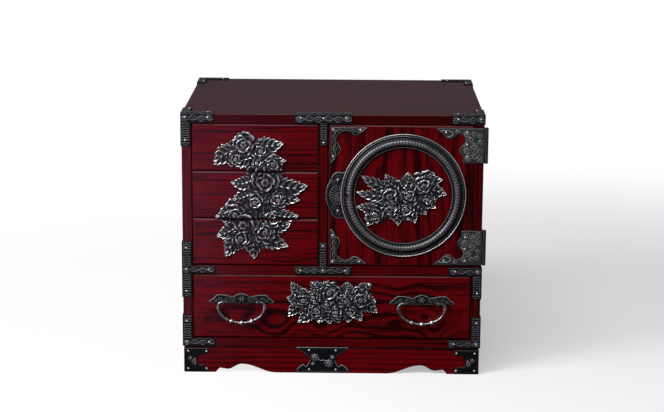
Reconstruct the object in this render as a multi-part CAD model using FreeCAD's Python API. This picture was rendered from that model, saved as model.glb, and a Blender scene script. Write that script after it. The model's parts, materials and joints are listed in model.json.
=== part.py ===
import FreeCAD, Part
import math
import os

# A small red-lacquered chest with black iron fittings: three small drawers beside a hinged door, over one
# wide drawer, on a base with scalloped arches. Millimetres. X runs to the right, Y away from the viewer,
# Z up. The pieces are worked out with x = 0 at the middle of the carcass, y = 0 at its front face and z = 0
# on the floor, and are then moved so that the origin is at the middle of the footprint of the whole box.

V = FreeCAD.Vector

# Carcass
width = 455.0
depth = 350.0
height = 405.0
board_t = 14.0
shelf_t = 13.0
divider_t = 12.5
divider_x = -13.7
back_t = 5.0
back_inset = 6.0
housing = 4.0
edge_round = 0.8
large_opening_h = 102.0

# Base
base_h = 42.5
base_inset = 1.5
base_board_t = 14.0
base_round = 3.5

# Arches under the base: along from the base's end, and the heights of the step and of the crown
arch_foot = 46.0
arch_step_start = 54.5
arch_step_end = 65.5
arch_crown = 88.0
arch_end = 142.0
arch_step_h = 6.8
arch_cusp_h = 5.2
arch_crown_h = 13.5

# Drawers
front_gap = 1.0
front_t = 15.0
front_bevel = 2.4
side_t = 7.0
bottom_t = 4.0
panel_groove = 3.0
lap = 8.0
side_drop = 7.0
slide_gap = 0.3
rear_gap = 4.0
runner_h = 5.0
runner_w = 7.0
floor_lift = 3.0
small_count = 3

# Door and its lock
door_gap = 1.2
door_t = 16.0
door_proud = 0.3
lock_case_w = 42.0
lock_case_h = 48.0
lock_case_t = 10.0
lock_wall = 2.0
lock_set_back = 4.5
bolt_w = 9.0
bolt_t = 5.0
bolt_tip = 1.0
bolt_throw = 9.0
bolt_tail = 14.0
bolt_fit = 0.3
keyhole_r = 2.4

# Ring on the door: its distances from the door's edges and its rise above the door's middle, then its parts
# from the outside in; heights are above the door
ring_left = 18.4
ring_right = 8.8
ring_above = 13.8
ring_rise = 1.5
ring_lip = 5.5
ring_groove = 3.6
ring_torus_w = 9.6
ring_inner_groove = 1.6
ring_inner_lip = 1.6
ring_lip_h = 3.0
ring_groove_h = 1.6
ring_torus_h = 7.2
keyhole_in = 8.2

# Sheet iron
iron_t = 1.3
bracket_arm = 49.0
bracket_leg = 49.5
tee_arm = 43.5
tee_stem = 33.0
side_tee_leg = 37.0
wrap = 13.0
iron_margin = 0.5
nail_r = 1.65
nail_h = 1.1
shank_r = 0.7
shank_l = 7.0
nail_fit = 0.02
nail_edge = 5.2
nail_end = 9.5
nail_back = 9.2

# Door hinges: a barrel outside the right front corner
barrel_r = 3.0
barrel_out = 0.5
pin_r = 1.5
pin_fit = 0.05
pin_head = 0.8
pin_head_r = 2.3
hinge_h = 53.5
hinge_tongue = 72.0
hinge_edge_in = 3.4
hinge_nail_in = 25.5
hinge_nail_edge = 6.5
hinge_nail_pitch = 18.3
tongue_nail_in = 14.5
side_leaf = 26.0
knuckle_share = 0.4
knuckle_gap = 0.3

# Lock plate, beside the ring; its height is a share of the door's
lock_plate_over = 4.0
lock_plate_share = 0.323
lock_plate_notch = 8.3
lock_lobe_w = 14.4
lock_nail_in = 18.6
lock_nail_share = 0.68
lock_notch_share = 0.69
lock_lobe_x_share = 0.24
lock_lobe_z_share = 0.92

# Corner plates of the door; their size is a share of the door's height
corner_plate_share = 0.255
corner_in = 1.0
corner_nail_near = 3.7
corner_nail_far_share = 0.8

# Plates on the base
base_plate_w = 38.5
base_plate_h = 38.4
base_plate_lift = 0.6
base_centre_w = 82.0
base_centre_h = 41.4

# Bail handles
bail_low = 43.4
bail_w = 75.5
bail_drop = 36.0
bail_wire_r = 2.2
bail_corner_r = 6.5
bail_side_r = 22.0
bail_knob_r = 3.5
bail_knob_taper_share = 0.07
bail_knobs_each_side = 2
bail_arc_steps = 6
bail_pivot_out = 7.0
bail_eye_x = 26.5
bail_eye_r = 3.4
bail_post_r = 1.8
bail_fit = 0.05
bail_end = 4.0
bail_plate_w = 99.5
bail_plate_h = 17.0
bail_plate_low = 3.4
bail_nut_r = 4.0
bail_nut_t = 2.0

# On the wide drawer's front, what the bail plates leave of each half is shared by the relief, the gap and
# the outer margin
wide_relief_share = 0.628
bail_margin_share = 0.219

# Reliefs of peonies and leaves
relief_h = 6.6
leaf_edge_h = 1.6
leaf_ridge_h = 3.4
relief_gap = 0.4
door_relief_in = 3.1
door_relief_share = 0.642
door_relief_left = 3.0
door_relief_low = 4.4
wide_relief_margin = 14.5
wide_relief_rise = 8.0
wide_relief_long_share = 2.02
stack_relief_side = 22.8
stack_relief_shift = 8.7
stack_relief_drop_share = 0.0135
stack_relief_high_share = 0.9
stack_relief_wide_share = 0.73

# Outlines and layouts as shares of the sizes that they follow
arch_ease_share = 0.38
tongue_outline_shares = [
    (0.0, 1.0), (0.02, 0.94), (0.06, 0.89), (0.12, 0.855), (0.16, 0.79), (0.22, 0.715), (0.30, 0.68),
    (0.366, 0.726), (0.415, 0.80), (0.476, 0.84), (0.537, 0.82), (0.585, 0.74), (0.60, 0.645), (0.565, 0.55),
    (0.50, 0.45), (0.475, 0.355), (0.50, 0.274), (0.55, 0.22), (0.56, 0.13), (0.56, 0.0), (1.0, 0.0),
    (1.0, 1.0),
]
corner_outline_shares = [
    (0.0, 0.0), (1.0, 0.0), (0.88, 0.13), (0.74, 0.21), (0.62, 0.22), (0.50, 0.13), (0.36, 0.12),
    (0.26, 0.19), (0.19, 0.26), (0.17, 0.37), (0.24, 0.50), (0.28, 0.60), (0.24, 0.72), (0.14, 0.80),
    (0.12, 0.90), (0.0, 1.0),
]
base_corner_shares = [
    (0.0, 0.0), (1.0, 0.0), (0.90, 0.10), (0.78, 0.30), (0.70, 0.33), (0.62, 0.27), (0.53, 0.33),
    (0.48, 0.45), (0.50, 0.60), (0.58, 0.71), (0.72, 0.77), (0.90, 0.78), (0.97, 0.86), (0.97, 1.0),
    (0.0, 1.0),
]
base_centre_shares = [
    (0.98, 0.03), (0.96, 0.16), (0.72, 0.36), (0.62, 0.22), (0.49, 0.45), (0.46, 0.55), (0.58, 0.68),
    (0.80, 0.83), (0.97, 0.92), (0.98, 1.0),
]
bail_plate_shares = [
    (0.0, 0.06), (0.08, 0.0), (0.30, 0.05), (0.78, 0.05), (0.84, 0.02), (0.99, 0.08), (1.0, 0.26),
    (0.88, 0.46), (0.78, 0.80), (0.70, 0.86), (0.50, 0.82), (0.28, 0.68), (0.22, 0.72), (0.16, 0.86),
    (0.0, 1.0),
]
# A knob's half section: distance from its middle and radius, in radii of the knob
bail_knob_profile_shares = [(-0.7, 0.71), (-0.4, 0.92), (0.0, 1.0), (0.4, 0.92), (0.7, 0.71)]
leaf_outline_shares = [
    (0.0, 0.22), (0.16, 0.62), (0.24, 0.50), (0.40, 0.92), (0.47, 0.66), (0.64, 0.72), (0.70, 0.44),
    (0.84, 0.36),
]
petal_tier_shares = [(1.0, 0.48, 9), (0.76, 0.72, 8), (0.50, 0.92, 6)]
petal_scallop_share = 0.16
heart_share = 0.26

# Each flower is (x, z, radius), each leaf (from x, from z, to x, to z, half width): x in half widths of the
# relief, z in half heights, radii and half widths in the mean of the two
door_flower_shares = [
    (-0.21, 0.12, 0.439), (-0.56, -0.50, 0.329), (0.50, 0.50, 0.402), (0.14, -0.42, 0.268),
]
door_leaf_shares = [
    (-0.30, 0.10, -0.99, 0.22, 0.146), (-0.30, 0.30, -0.88, 0.78, 0.158),
    (-0.5, -0.4, -0.98, -0.30, 0.146), (-0.50, -0.50, -0.74, -0.96, 0.158),
    (0.0, -0.30, -0.06, -0.95, 0.183), (0.10, -0.30, 0.31, -0.86, 0.171),
    (0.20, -0.20, 0.55, -0.56, 0.171), (0.40, 0.20, 0.76, -0.32, 0.183), (0.50, 0.35, 0.99, 0.14, 0.171),
    (0.40, 0.50, 0.90, 0.66, 0.171), (-0.05, 0.35, -0.36, 0.84, 0.183), (0.05, 0.35, 0.14, 0.92, 0.195),
]
wide_flower_shares = [
    (-0.07, 0.34, 0.445), (-0.66, 0.10, 0.364), (0.62, 0.22, 0.391), (0.14, -0.46, 0.324),
    (-0.36, -0.38, 0.297),
]
wide_leaf_shares = [
    (-0.6, 0.3, -0.88, 0.92, 0.162), (-0.6, 0.1, -0.98, 0.20, 0.189), (-0.6, -0.1, -0.94, -0.66, 0.189),
    (-0.4, -0.3, -0.74, -0.92, 0.189), (0.0, -0.3, -0.04, -0.98, 0.216),
    (-0.2, -0.3, -0.30, -0.94, 0.175), (0.30, -0.3, 0.36, -0.93, 0.189), (0.5, -0.1, 0.66, -0.84, 0.189),
    (0.6, 0.0, 0.99, -0.46, 0.202), (0.6, 0.2, 0.97, 0.04, 0.175), (0.6, 0.4, 0.86, 0.84, 0.175),
    (0.3, 0.4, 0.34, 0.93, 0.202), (-0.3, 0.4, -0.46, 0.92, 0.202), (-0.1, 0.4, -0.08, 0.98, 0.202),
]
stack_flower_shares = [
    (-0.36, 0.78, 0.287), (0.06, 0.28, 0.363), (-0.36, -0.38, 0.397), (0.22, 0.50, 0.236),
    (-0.56, -0.24, 0.253), (0.24, -0.34, 0.219),
]
stack_leaf_shares = [
    (-0.5, 0.74, -0.99, 0.50, 0.169), (-0.1, 0.80, 0.48, 0.84, 0.152), (-0.2, 0.62, -0.70, 0.60, 0.127),
    (0.0, 0.60, 0.54, 0.58, 0.127), (-0.2, 0.26, -0.64, 0.23, 0.118), (0.3, 0.20, 0.99, 0.19, 0.160),
    (0.3, 0.10, 0.83, -0.04, 0.135), (0.1, 0.04, 0.52, -0.14, 0.135), (-0.2, 0.06, -0.60, -0.04, 0.143),
    (-0.5, -0.26, -0.97, -0.30, 0.127), (0.3, -0.26, 0.80, -0.28, 0.118),
    (0.2, -0.46, 0.64, -0.40, 0.118), (0.0, -0.56, 0.58, -0.76, 0.152),
    (-0.1, -0.60, -0.14, -0.97, 0.152), (-0.4, -0.60, -0.75, -0.94, 0.152),
    (-0.5, -0.46, -0.94, -0.62, 0.135), (0.1, 0.0, 0.10, -0.40, 0.169),
]

# Levels and places that follow from the sizes above
half_w = width / 2
inner_x = half_w - board_t
bottom_top = base_h + shelf_t
middle_low = bottom_top + large_opening_h
middle_top = middle_low + shelf_t
top_low = height - board_t
back_face = depth - back_inset - back_t
divider_left = divider_x - divider_t / 2
divider_right = divider_x + divider_t / 2
small_pitch = (top_low - middle_top - front_gap) / small_count
door_x0 = divider_right + door_gap
door_x1 = inner_x - door_gap
door_z0 = middle_top + door_gap
door_z1 = top_low - door_gap
door_w = door_x1 - door_x0
door_h = door_z1 - door_z0
door_front = -door_proud
hinge_x = half_w + barrel_out + barrel_r
hinge_y = door_front - iron_t + barrel_r
ring_r = min(door_w - ring_left - ring_right, door_h - 2 * ring_above) / 2
ring_x = door_x0 + ring_left + ring_r
ring_z = (door_z0 + door_z1) / 2 + ring_rise
ring_inner_r = ring_r - ring_lip - ring_groove - ring_torus_w - ring_inner_groove - ring_inner_lip
lock_z = ring_z
lock_plate_x = door_x0 - lock_plate_over
lock_plate_h = door_h * lock_plate_share
corner_plate = door_h * corner_plate_share
keyhole_x = ring_x - ring_r + keyhole_in
small_x0 = -inner_x + front_gap
small_x1 = divider_left - front_gap
large_x1 = inner_x - front_gap
large_z0 = bottom_top + front_gap
large_z1 = middle_low - front_gap
large_room = large_x1 - bail_plate_w
bail_x = large_x1 - large_room * bail_margin_share - bail_plate_w / 2
bail_z = middle_low - bail_low
bail_pivot_y = -bail_pivot_out
door_relief_w = 2 * (ring_inner_r - door_relief_in)
door_relief_h = door_relief_w * door_relief_share
wide_relief_h = large_z1 - large_z0 - 2 * wide_relief_margin
wide_relief_w = min(2 * large_room * wide_relief_share, wide_relief_h * wide_relief_long_share)
stack_room = top_low - middle_top
stack_relief_h = stack_room * stack_relief_high_share
stack_relief_w = min(small_x1 - small_x0 - 2 * stack_relief_side, stack_relief_h * stack_relief_wide_share)
reach_left = half_w + iron_t + nail_h
reach_right = hinge_x + barrel_r
reach_front = bail_pivot_out + bail_knob_r
reach_back = depth + iron_t + nail_h
origin = V((reach_right - reach_left) / 2, (reach_back - reach_front) / 2, 0)


def box(x0, x1, y0, y1, z0, z1):
    """A rectangular block between two corners."""
    return Part.makeBox(x1 - x0, y1 - y0, z1 - z0, V(x0, y0, z0))


def fused(shapes):
    """One solid from shapes that meet or overlap."""
    whole = shapes[0] if len(shapes) == 1 else shapes[0].multiFuse(shapes[1:])
    return whole.removeSplitter()


def mirrored(shape):
    """The same shape on the other side of the middle plane."""
    return shape.mirror(V(0, 0, 0), V(1, 0, 0))


def front_plate(points, back_y, thickness):
    """A flat outline of (x, z) points, extruded towards the viewer from back_y."""
    corners = [V(x, back_y, z) for x, z in points]
    face = Part.Face(Part.makePolygon(corners + corners[:1]))
    return face.extrude(V(0, -thickness, 0))


def bevelled(shape, y, size):
    """The shape with a chamfer along every edge that lies in the plane at y."""
    edges = [e for e in shape.Edges if all(abs(v.Point.y - y) < size / 10 for v in e.Vertexes)]
    return shape.makeChamfer(size, edges)


def rounded(shape, radius, wanted):
    """The shape with the edges that pass the test rounded."""
    edges = [e for e in shape.Edges if wanted(e.valueAt((e.FirstParameter + e.LastParameter) / 2))]
    return shape.makeFillet(radius, edges)


# Nails: each is a place on a surface and the direction that its head faces


def nail(place, out):
    """A domed head on a short shank; the head sits on the surface at place."""
    dome_r = (nail_r ** 2 + nail_h ** 2) / (2 * nail_h)
    rim = math.degrees(math.asin((dome_r - nail_h) / dome_r))
    centre = place - out * (dome_r - nail_h)
    dome = Part.makeSphere(dome_r, centre, out, rim, 90)
    shank = Part.makeCylinder(shank_r, shank_l, place - out * shank_l, out)
    return dome.fuse(shank)


def nail_hole(place, out):
    """The hole that a nail's shank goes through."""
    return Part.makeCylinder(shank_r + nail_fit, shank_l + nail_fit, place - out * (shank_l + nail_fit), out)


def holed(shape, nails):
    """The shape with the holes of the nails that reach it."""
    near = [nail_hole(p, d) for p, d in nails]
    near = [h for h in near if h.BoundBox.intersect(shape.BoundBox)]
    return shape.cut(Part.makeCompound(near)) if near else shape


def front_nails(places, y=-iron_t):
    """Nails that face the viewer, at (x, z) places."""
    return [(V(x, y, z), V(0, -1, 0)) for x, z in places]


# Wood


def carcass():
    """The boards of the carcass, each housed in the next, and the runners of the small drawers."""
    inner_back = back_face
    side = box(-half_w, -inner_x, 0, depth, base_h, top_low + housing)
    boards = {
        "top_board": box(-half_w, half_w, 0, depth, top_low, height),
        "left_side_board": side,
        "right_side_board": mirrored(side),
        "bottom_board": box(-inner_x - housing, inner_x + housing, 0, depth, base_h, bottom_top),
        "middle_board": box(-inner_x - housing, inner_x + housing, 0, inner_back, middle_low, middle_top),
        "divider_board": box(
            divider_left, divider_right, 0, inner_back, middle_top - housing, top_low + housing
        ),
        "back_panel": box(
            -inner_x - housing, inner_x + housing, back_face, back_face + back_t,
            bottom_top - housing, top_low + housing,
        ),
    }
    shelf_ends = Part.makeCompound([boards[n] for n in ("bottom_board", "middle_board", "back_panel")])
    sides = ["left_side_board", "right_side_board"]
    uprights = Part.makeCompound([boards[n] for n in sides + ["divider_board", "back_panel"]])
    for name in sides:
        boards[name] = boards[name].cut(shelf_ends)
    near = edge_round / 10
    top = rounded(boards["top_board"], edge_round, lambda p: p.z > height - near and p.y < depth - near)
    boards["top_board"] = top.cut(uprights)
    boards["bottom_board"] = boards["bottom_board"].cut(boards["back_panel"])
    boards["middle_board"] = boards["middle_board"].cut(boards["divider_board"])
    return boards


def bolt_room():
    """The mortise in the divider that the lock bolt enters."""
    y0 = lock_y() + (lock_case_t - bolt_t) / 2 - bolt_fit
    deep = lock_x() - bolt_tip - bolt_throw - bolt_fit
    return box(
        deep, divider_right + bolt_fit, y0, y0 + bolt_t + 2 * bolt_fit,
        lock_z - bolt_w / 2 - bolt_fit, lock_z + bolt_w / 2 + bolt_fit,
    )


def runners():
    """Six strips that carry the small drawers, on the left side board and on the divider."""
    strips = []
    for n in range(small_count):
        z0 = middle_top + n * small_pitch
        low = z0 if n == 0 else z0 + front_gap / 2
        for x0 in (-inner_x, divider_left - runner_w):
            strips.append(
                box(x0, x0 + runner_w, front_t + front_gap, back_face, low, z0 + front_gap + runner_h)
            )
    return Part.makeCompound(strips)


def arch_edge(x_end, toward):
    """The lower edge of the front base board at one end: foot, step, cusp and crown, as wire edges."""
    def at(along, z):
        return V(x_end + toward * along, 0, z)

    def ease(a, b, rise):
        # An S-shaped stretch: flat at both ends, steepest in the middle
        reach = (b[0] - a[0]) * arch_ease_share
        poles = [at(*a), at(a[0] + reach, a[1]), at(b[0] - reach, b[1] - rise), at(*b)]
        curve = Part.BezierCurve()
        curve.setPoles(poles)
        return curve.toShape()

    foot = (arch_foot, 0)
    step_a = (arch_step_start, arch_step_h)
    step_b = (arch_step_end, arch_cusp_h)
    crown = (arch_crown, arch_crown_h)
    end = (arch_end, 0)
    return [
        Part.makeLine(at(0, 0), at(*foot)),
        ease(foot, step_a, 0),
        Part.makeLine(at(*step_a), at(*step_b)),
        ease(step_b, crown, 0),
        ease(crown, end, 0),
    ]


def base_boards():
    """The four boards of the base; the front one has a scalloped lower edge."""
    x0 = -half_w + base_inset
    y0 = base_inset
    y1 = depth - base_inset
    edges = arch_edge(x0, 1)
    edges.append(Part.makeLine(V(x0 + arch_end, 0, 0), V(-x0 - arch_end, 0, 0)))
    edges += reversed(arch_edge(-x0, -1))
    edges.append(Part.makeLine(V(-x0, 0, 0), V(-x0, 0, base_h)))
    edges.append(Part.makeLine(V(-x0, 0, base_h), V(x0, 0, base_h)))
    edges.append(Part.makeLine(V(x0, 0, base_h), V(x0, 0, 0)))
    face = Part.Face(Part.Wire(Part.__sortEdges__(edges)))
    front = face.extrude(V(0, base_board_t, 0))
    front.translate(V(0, y0, 0))
    rear = box(x0, -x0, y1 - base_board_t, y1, 0, base_h)
    left = box(x0, x0 + base_board_t, y0 + base_board_t, y1 - base_board_t, 0, base_h)
    near = base_round / 10

    def top_edge(p):
        return p.z > base_h - near

    front = rounded(front, base_round, lambda p: top_edge(p) and not p.y > y0 + base_board_t - near)
    rear = rounded(rear, base_round, lambda p: top_edge(p) and not p.y < y1 - base_board_t + near)
    left = rounded(left, base_round, lambda p: top_edge(p) and p.x < x0 + near)
    return {
        "base_front_board": front,
        "base_rear_board": rear,
        "base_left_board": left,
        "base_right_board": mirrored(left),
    }


# Iron on the carcass


def corner_top(leg):
    """The top left corner iron, on the front, the top and the side, with its front leg of this length."""
    x = -half_w
    t = iron_t
    face_w = board_t - iron_margin
    return fused([
        box(x - t, x + bracket_arm, -t, 0, height - face_w, height + t),
        box(x - t, x + face_w, -t, 0, height - leg, height + t),
        box(x - t, x + bracket_arm, -t, wrap, height, height + t),
        box(x - t, x + wrap, -t, bracket_arm, height, height + t),
        box(x - t, x, -t, wrap, height - leg, height + t),
        box(x - t, x, -t, bracket_arm, height - wrap, height + t),
    ])


def corner_rear():
    """The rear left corner iron, with arms on the top, the back and the side."""
    x = -half_w
    t = iron_t
    y = depth
    return fused([
        box(x - t, x + bracket_arm, y - wrap, y + t, height, height + t),
        box(x - t, x + wrap, y - bracket_arm, y + t, height, height + t),
        box(x - t, x + bracket_arm, y, y + t, height - wrap, height + t),
        box(x - t, x + wrap, y, y + t, height - bracket_leg, height + t),
        box(x - t, x, y - wrap, y + t, height - bracket_leg, height + t),
        box(x - t, x, y - bracket_arm, y + t, height - wrap, height + t),
    ])


def corner_low():
    """The bottom left corner iron, with arms on the front and the side."""
    x = -half_w
    t = iron_t
    z = base_h
    return fused([
        box(x - t, x + bracket_arm, -t, 0, z, z + shelf_t - iron_margin),
        box(x - t, x + board_t - iron_margin, -t, 0, z, z + bracket_leg),
        box(x - t, x, -t, wrap, z, z + bracket_leg),
        box(x - t, x, -t, bracket_arm, z, z + wrap),
    ])


def side_middle(up):
    """The iron where the middle board meets the left side board; up is its reach above that board."""
    x = -half_w
    t = iron_t
    low = middle_low - side_tee_leg
    high = middle_top + up
    return fused([
        box(x - t, x + bracket_arm, -t, 0, middle_low + iron_margin / 2, middle_top - iron_margin / 2),
        box(x - t, x + board_t - iron_margin, -t, 0, low, high),
        box(x - t, x, -t, wrap, low, high),
    ])


def centre_irons():
    """The T irons at the top and the foot of the divider."""
    t = iron_t
    x = divider_x
    stem = (divider_t - iron_margin) / 2
    top = fused([
        box(x - tee_arm, x + tee_arm, -t, 0, top_low + iron_margin, height + t),
        box(x - stem, x + stem, -t, 0, top_low - tee_stem, height),
        box(x - tee_arm, x + tee_arm, -t, wrap, height, height + t),
    ])
    middle = fused([
        box(x - tee_arm, x + tee_arm, -t, 0, middle_low + iron_margin / 2, middle_top - iron_margin / 2),
        box(x - stem, x + stem, -t, 0, middle_low + iron_margin / 2, middle_top + side_tee_leg),
    ])
    return {"top_centre_bracket": top, "centre_middle_bracket": middle}


def corner_nails(sign, leg):
    """The nails of a top front corner iron and of the rear one behind it; sign is -1 left, 1 right."""
    out = V(sign, 0, 0)
    up = V(0, 0, 1)
    edge = half_w - nail_edge
    far = half_w - bracket_arm + nail_end
    z = height - nail_edge
    face = [(sign * edge, z), (sign * far, z)]
    if leg > board_t:
        face.append((sign * edge, height - leg + nail_end))
    nails = front_nails(face)
    side_x = sign * (half_w + iron_t)
    low = height - max(leg, wrap) + nail_end
    rear = depth - nail_back
    rear_arm = depth - bracket_arm + nail_end
    rear_leg = height - bracket_leg + nail_end
    nails += [(V(side_x, bracket_arm - nail_end, z), out), (V(side_x, nail_back, low), out)]
    nails += [(V(side_x, rear_arm, z), out), (V(side_x, rear, rear_leg), out)]
    top_z = height + iron_t
    inner = half_w - nail_back
    for y, far_y in ((nail_back, bracket_arm - nail_end), (rear, rear_arm)):
        nails += [(V(sign * far, y, top_z), up), (V(sign * inner, far_y, top_z), up)]
    back = V(0, 1, 0)
    nails += [(V(sign * far, depth + iron_t, z), back), (V(sign * edge, depth + iron_t, rear_leg), back)]
    return nails


def lower_nails(sign, high):
    """The nails of the middle and bottom irons on one side; high is the middle iron's upper end."""
    out = V(sign, 0, 0)
    edge = sign * (half_w - nail_edge)
    far = sign * (half_w - bracket_arm + nail_end)
    mid_z = (middle_low + middle_top) / 2
    foot_z = base_h + shelf_t / 2
    low = middle_low - side_tee_leg + nail_end
    leg_z = base_h + bracket_leg - nail_end
    face = [(edge, low), (edge, mid_z), (far, mid_z), (edge, leg_z), (edge, foot_z), (far, foot_z)]
    side = [(nail_back, low), (nail_back, leg_z), (bracket_arm - nail_end, base_h + wrap / 2)]
    if high > middle_top + nail_end:
        face.append((edge, high - nail_end))
        side.append((nail_back, high - nail_end))
    side_x = sign * (half_w + iron_t)
    return front_nails(face) + [(V(side_x, y, z), out) for y, z in side]


def centre_nails():
    """The nails of the two T irons."""
    z = height - nail_edge
    mid_z = (middle_low + middle_top) / 2
    arm = tee_arm - nail_end
    places = [(divider_x + s * arm, level) for level in (z, mid_z) for s in (-1, 0, 1)]
    places += [(divider_x, top_low - tee_stem + nail_end / 2)]
    places += [(divider_x, middle_top + side_tee_leg - nail_end / 2)]
    return front_nails(places)


def base_plates():
    """The corner plates of the base, the waisted plate under the divider, and their nails."""
    x0 = -half_w + base_inset
    y = base_inset
    z0 = base_plate_lift
    points = [(x0 + base_plate_w * a, z0 + base_plate_h * b) for a, b in base_corner_shares]
    face = front_plate(points, y, iron_t)
    side = box(x0 - iron_t, x0, y - iron_t, y + wrap, z0, z0 + base_plate_h)
    left = fused([face, side, box(x0 - iron_t, x0 + iron_t, y - iron_t, y, z0, z0 + base_plate_h)])
    half = base_centre_w / 2
    right_side = [(divider_x + half * a, z0 + base_centre_h * b) for a, b in base_centre_shares]
    left_side = [(2 * divider_x - x, z) for x, z in reversed(right_side)]
    centre = front_plate(right_side + left_side, y, iron_t)
    low = z0 + nail_edge
    high = z0 + base_plate_h - nail_edge
    inner = base_plate_w - nail_edge
    corners = [(nail_edge, low), (inner, low), (nail_edge, high), (inner, high)]
    places = [(s * (x0 + a), z) for s in (1, -1) for a, z in corners]
    places += [(divider_x + s * half / 2, z) for s in (1, -1) for z in (low, z0 + base_centre_h - nail_edge)]
    return left, centre, front_nails(places, y - iron_t)


# Door


def hinge_plate_points(up):
    """The outline of a hinge plate on the door: a block with a lobed tongue; up is 1 for the upper."""
    z_edge = door_z1 - hinge_edge_in if up > 0 else door_z0 + hinge_edge_in
    x1 = half_w + barrel_out / 4
    return [
        (x1 - hinge_tongue * (1 - a), z_edge - up * hinge_h * (1 - b)) for a, b in tongue_outline_shares
    ]


def hinges():
    """The hinge leaves of the door, the leaves on the side board, the pins, and the nails of both."""
    door_leaves = []
    side_leaves = []
    pins = []
    door_nails = []
    side_nails = []
    for up in (1, -1):
        points = hinge_plate_points(up)
        z0 = min(z for _, z in points)
        z1 = max(z for _, z in points)
        knuckle = hinge_h * knuckle_share / 2
        mid = (z0 + z1) / 2
        axis = V(hinge_x, hinge_y, 0)
        bore = Part.makeCylinder(pin_r + pin_fit, z1 - z0, axis + V(0, 0, z0))

        def barrel(a, b):
            return Part.makeCylinder(barrel_r, b - a, axis + V(0, 0, a))

        plate = front_plate(points, door_front, iron_t)
        arm = box(half_w, hinge_x, door_front - iron_t, door_front, mid - knuckle, mid + knuckle)
        door_leaves.append(fused([plate, arm, barrel(mid - knuckle, mid + knuckle)]).cut(bore))
        ends = ((z0, mid - knuckle - knuckle_gap), (mid + knuckle + knuckle_gap, z1))
        back_y = hinge_y + barrel_r
        pieces = [box(half_w, half_w + iron_t, back_y + knuckle_gap, hinge_y + side_leaf, z0, z1)]
        for a, b in ends:
            pieces.append(box(half_w, half_w + iron_t, hinge_y, back_y + knuckle_gap, a, b))
            pieces.append(barrel(a, b))
            pieces.append(box(half_w, hinge_x, back_y - iron_t, back_y, a, b))
        side_leaves.append(fused(pieces).cut(bore))
        pin = Part.makeCylinder(pin_r, z1 - z0, axis + V(0, 0, z0))
        heads = [
            Part.makeCylinder(pin_head_r, pin_head, axis + V(0, 0, z1)),
            Part.makeCylinder(pin_head_r, pin_head, axis + V(0, 0, z0 - pin_head)),
        ]
        pins.append(fused([pin] + heads))
        edge = (z1 if up > 0 else z0) - up * hinge_nail_edge
        door_nails.append((half_w - hinge_tongue + tongue_nail_in, edge))
        door_nails += [(half_w - hinge_nail_in, edge - up * k * hinge_nail_pitch) for k in range(3)]
        for z in (z0 + nail_edge, mid, z1 - nail_edge):
            side_nails.append((V(half_w + iron_t, hinge_y + side_leaf - nail_edge, z), V(1, 0, 0)))
    return door_leaves, side_leaves, pins, door_nails, side_nails


def ring_profile():
    """Half the ring's section as wire edges: outer lip, groove, round bead, inner groove and inner lip."""
    r = ring_r
    y = door_front
    lip_in = r - ring_lip
    torus_out = lip_in - ring_groove
    torus_in = torus_out - ring_torus_w
    lip_out = torus_in - ring_inner_groove

    def at(radius, h):
        return V(ring_x + radius, y - h, ring_z)

    points = [
        at(ring_inner_r, 0), at(r, 0), at(r, ring_lip_h / 2), at(r - ring_lip_h / 2, ring_lip_h),
        at(lip_in, ring_lip_h), at(lip_in, ring_groove_h), at(torus_out, ring_groove_h),
    ]
    after = [
        at(torus_in, ring_groove_h), at(lip_out, ring_groove_h), at(lip_out, ring_lip_h),
        at(ring_inner_r, ring_lip_h),
    ]
    edges = [Part.makeLine(a, b) for a, b in zip(points[:-1], points[1:])]
    crown = at((torus_out + torus_in) / 2, ring_torus_h)
    edges.append(Part.Arc(points[-1], crown, after[0]).toShape())
    edges += [Part.makeLine(a, b) for a, b in zip(after[:-1], after[1:])]
    edges.append(Part.makeLine(after[-1], points[0]))
    return Part.Face(Part.Wire(edges))


def keyhole():
    """The round hole for the key, through ring and door."""
    reach = ring_torus_h + iron_t
    length = reach + door_t + iron_t
    return Part.makeCylinder(keyhole_r, length, V(keyhole_x, door_front - reach, lock_z), V(0, 1, 0))


def lock_plate():
    """The scalloped plate left of the ring: one wide lobe between two small ones, cut round by the ring."""
    half_h = lock_plate_h / 2
    notch_x = lock_plate_x + lock_plate_notch
    notch_z = half_h * lock_notch_share
    bulge_x = notch_x + lock_lobe_w * lock_lobe_x_share
    bulge_z = half_h * lock_lobe_z_share
    lobe_x = notch_x + lock_lobe_w
    under_x = ring_x - ring_r / 2
    y = door_front

    def at(x, z):
        return V(x, y, lock_z + z)

    edges = [
        Part.Arc(at(notch_x, -notch_z), at(lock_plate_x, 0), at(notch_x, notch_z)).toShape(),
        Part.Arc(at(notch_x, notch_z), at(bulge_x, bulge_z), at(lobe_x, half_h)).toShape(),
        Part.makeLine(at(lobe_x, half_h), at(under_x, half_h)),
        Part.makeLine(at(under_x, half_h), at(under_x, -half_h)),
        Part.makeLine(at(under_x, -half_h), at(lobe_x, -half_h)),
        Part.Arc(at(lobe_x, -half_h), at(bulge_x, -bulge_z), at(notch_x, -notch_z)).toShape(),
    ]
    plate = Part.Face(Part.Wire(edges)).extrude(V(0, -iron_t, 0))
    disc = Part.makeCylinder(ring_r, iron_t, V(ring_x, y - iron_t, ring_z), V(0, 1, 0))
    return plate.cut(disc)


def corner_plates():
    """The scalloped plates on the door's two left corners, and their nails."""
    plates = []
    places = []
    x0 = door_x0 + front_bevel + corner_in
    for up in (1, -1):
        z0 = door_z1 - front_bevel - corner_in if up > 0 else door_z0 + front_bevel + corner_in
        points = [(x0 + corner_plate * a, z0 - up * corner_plate * b) for a, b in corner_outline_shares]
        plates.append(front_plate(points, door_front, iron_t))
        near = corner_nail_near
        far = corner_plate * corner_nail_far_share
        places += [(x0 + a, z0 - up * b) for a, b in ((near, near), (far, near), (near, far))]
    return plates, places


def lock_x():
    """The left face of the lock case."""
    return door_x0 + lock_set_back


def lock_y():
    """The front face of the lock case, against the back of the door."""
    return door_front + door_t


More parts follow.
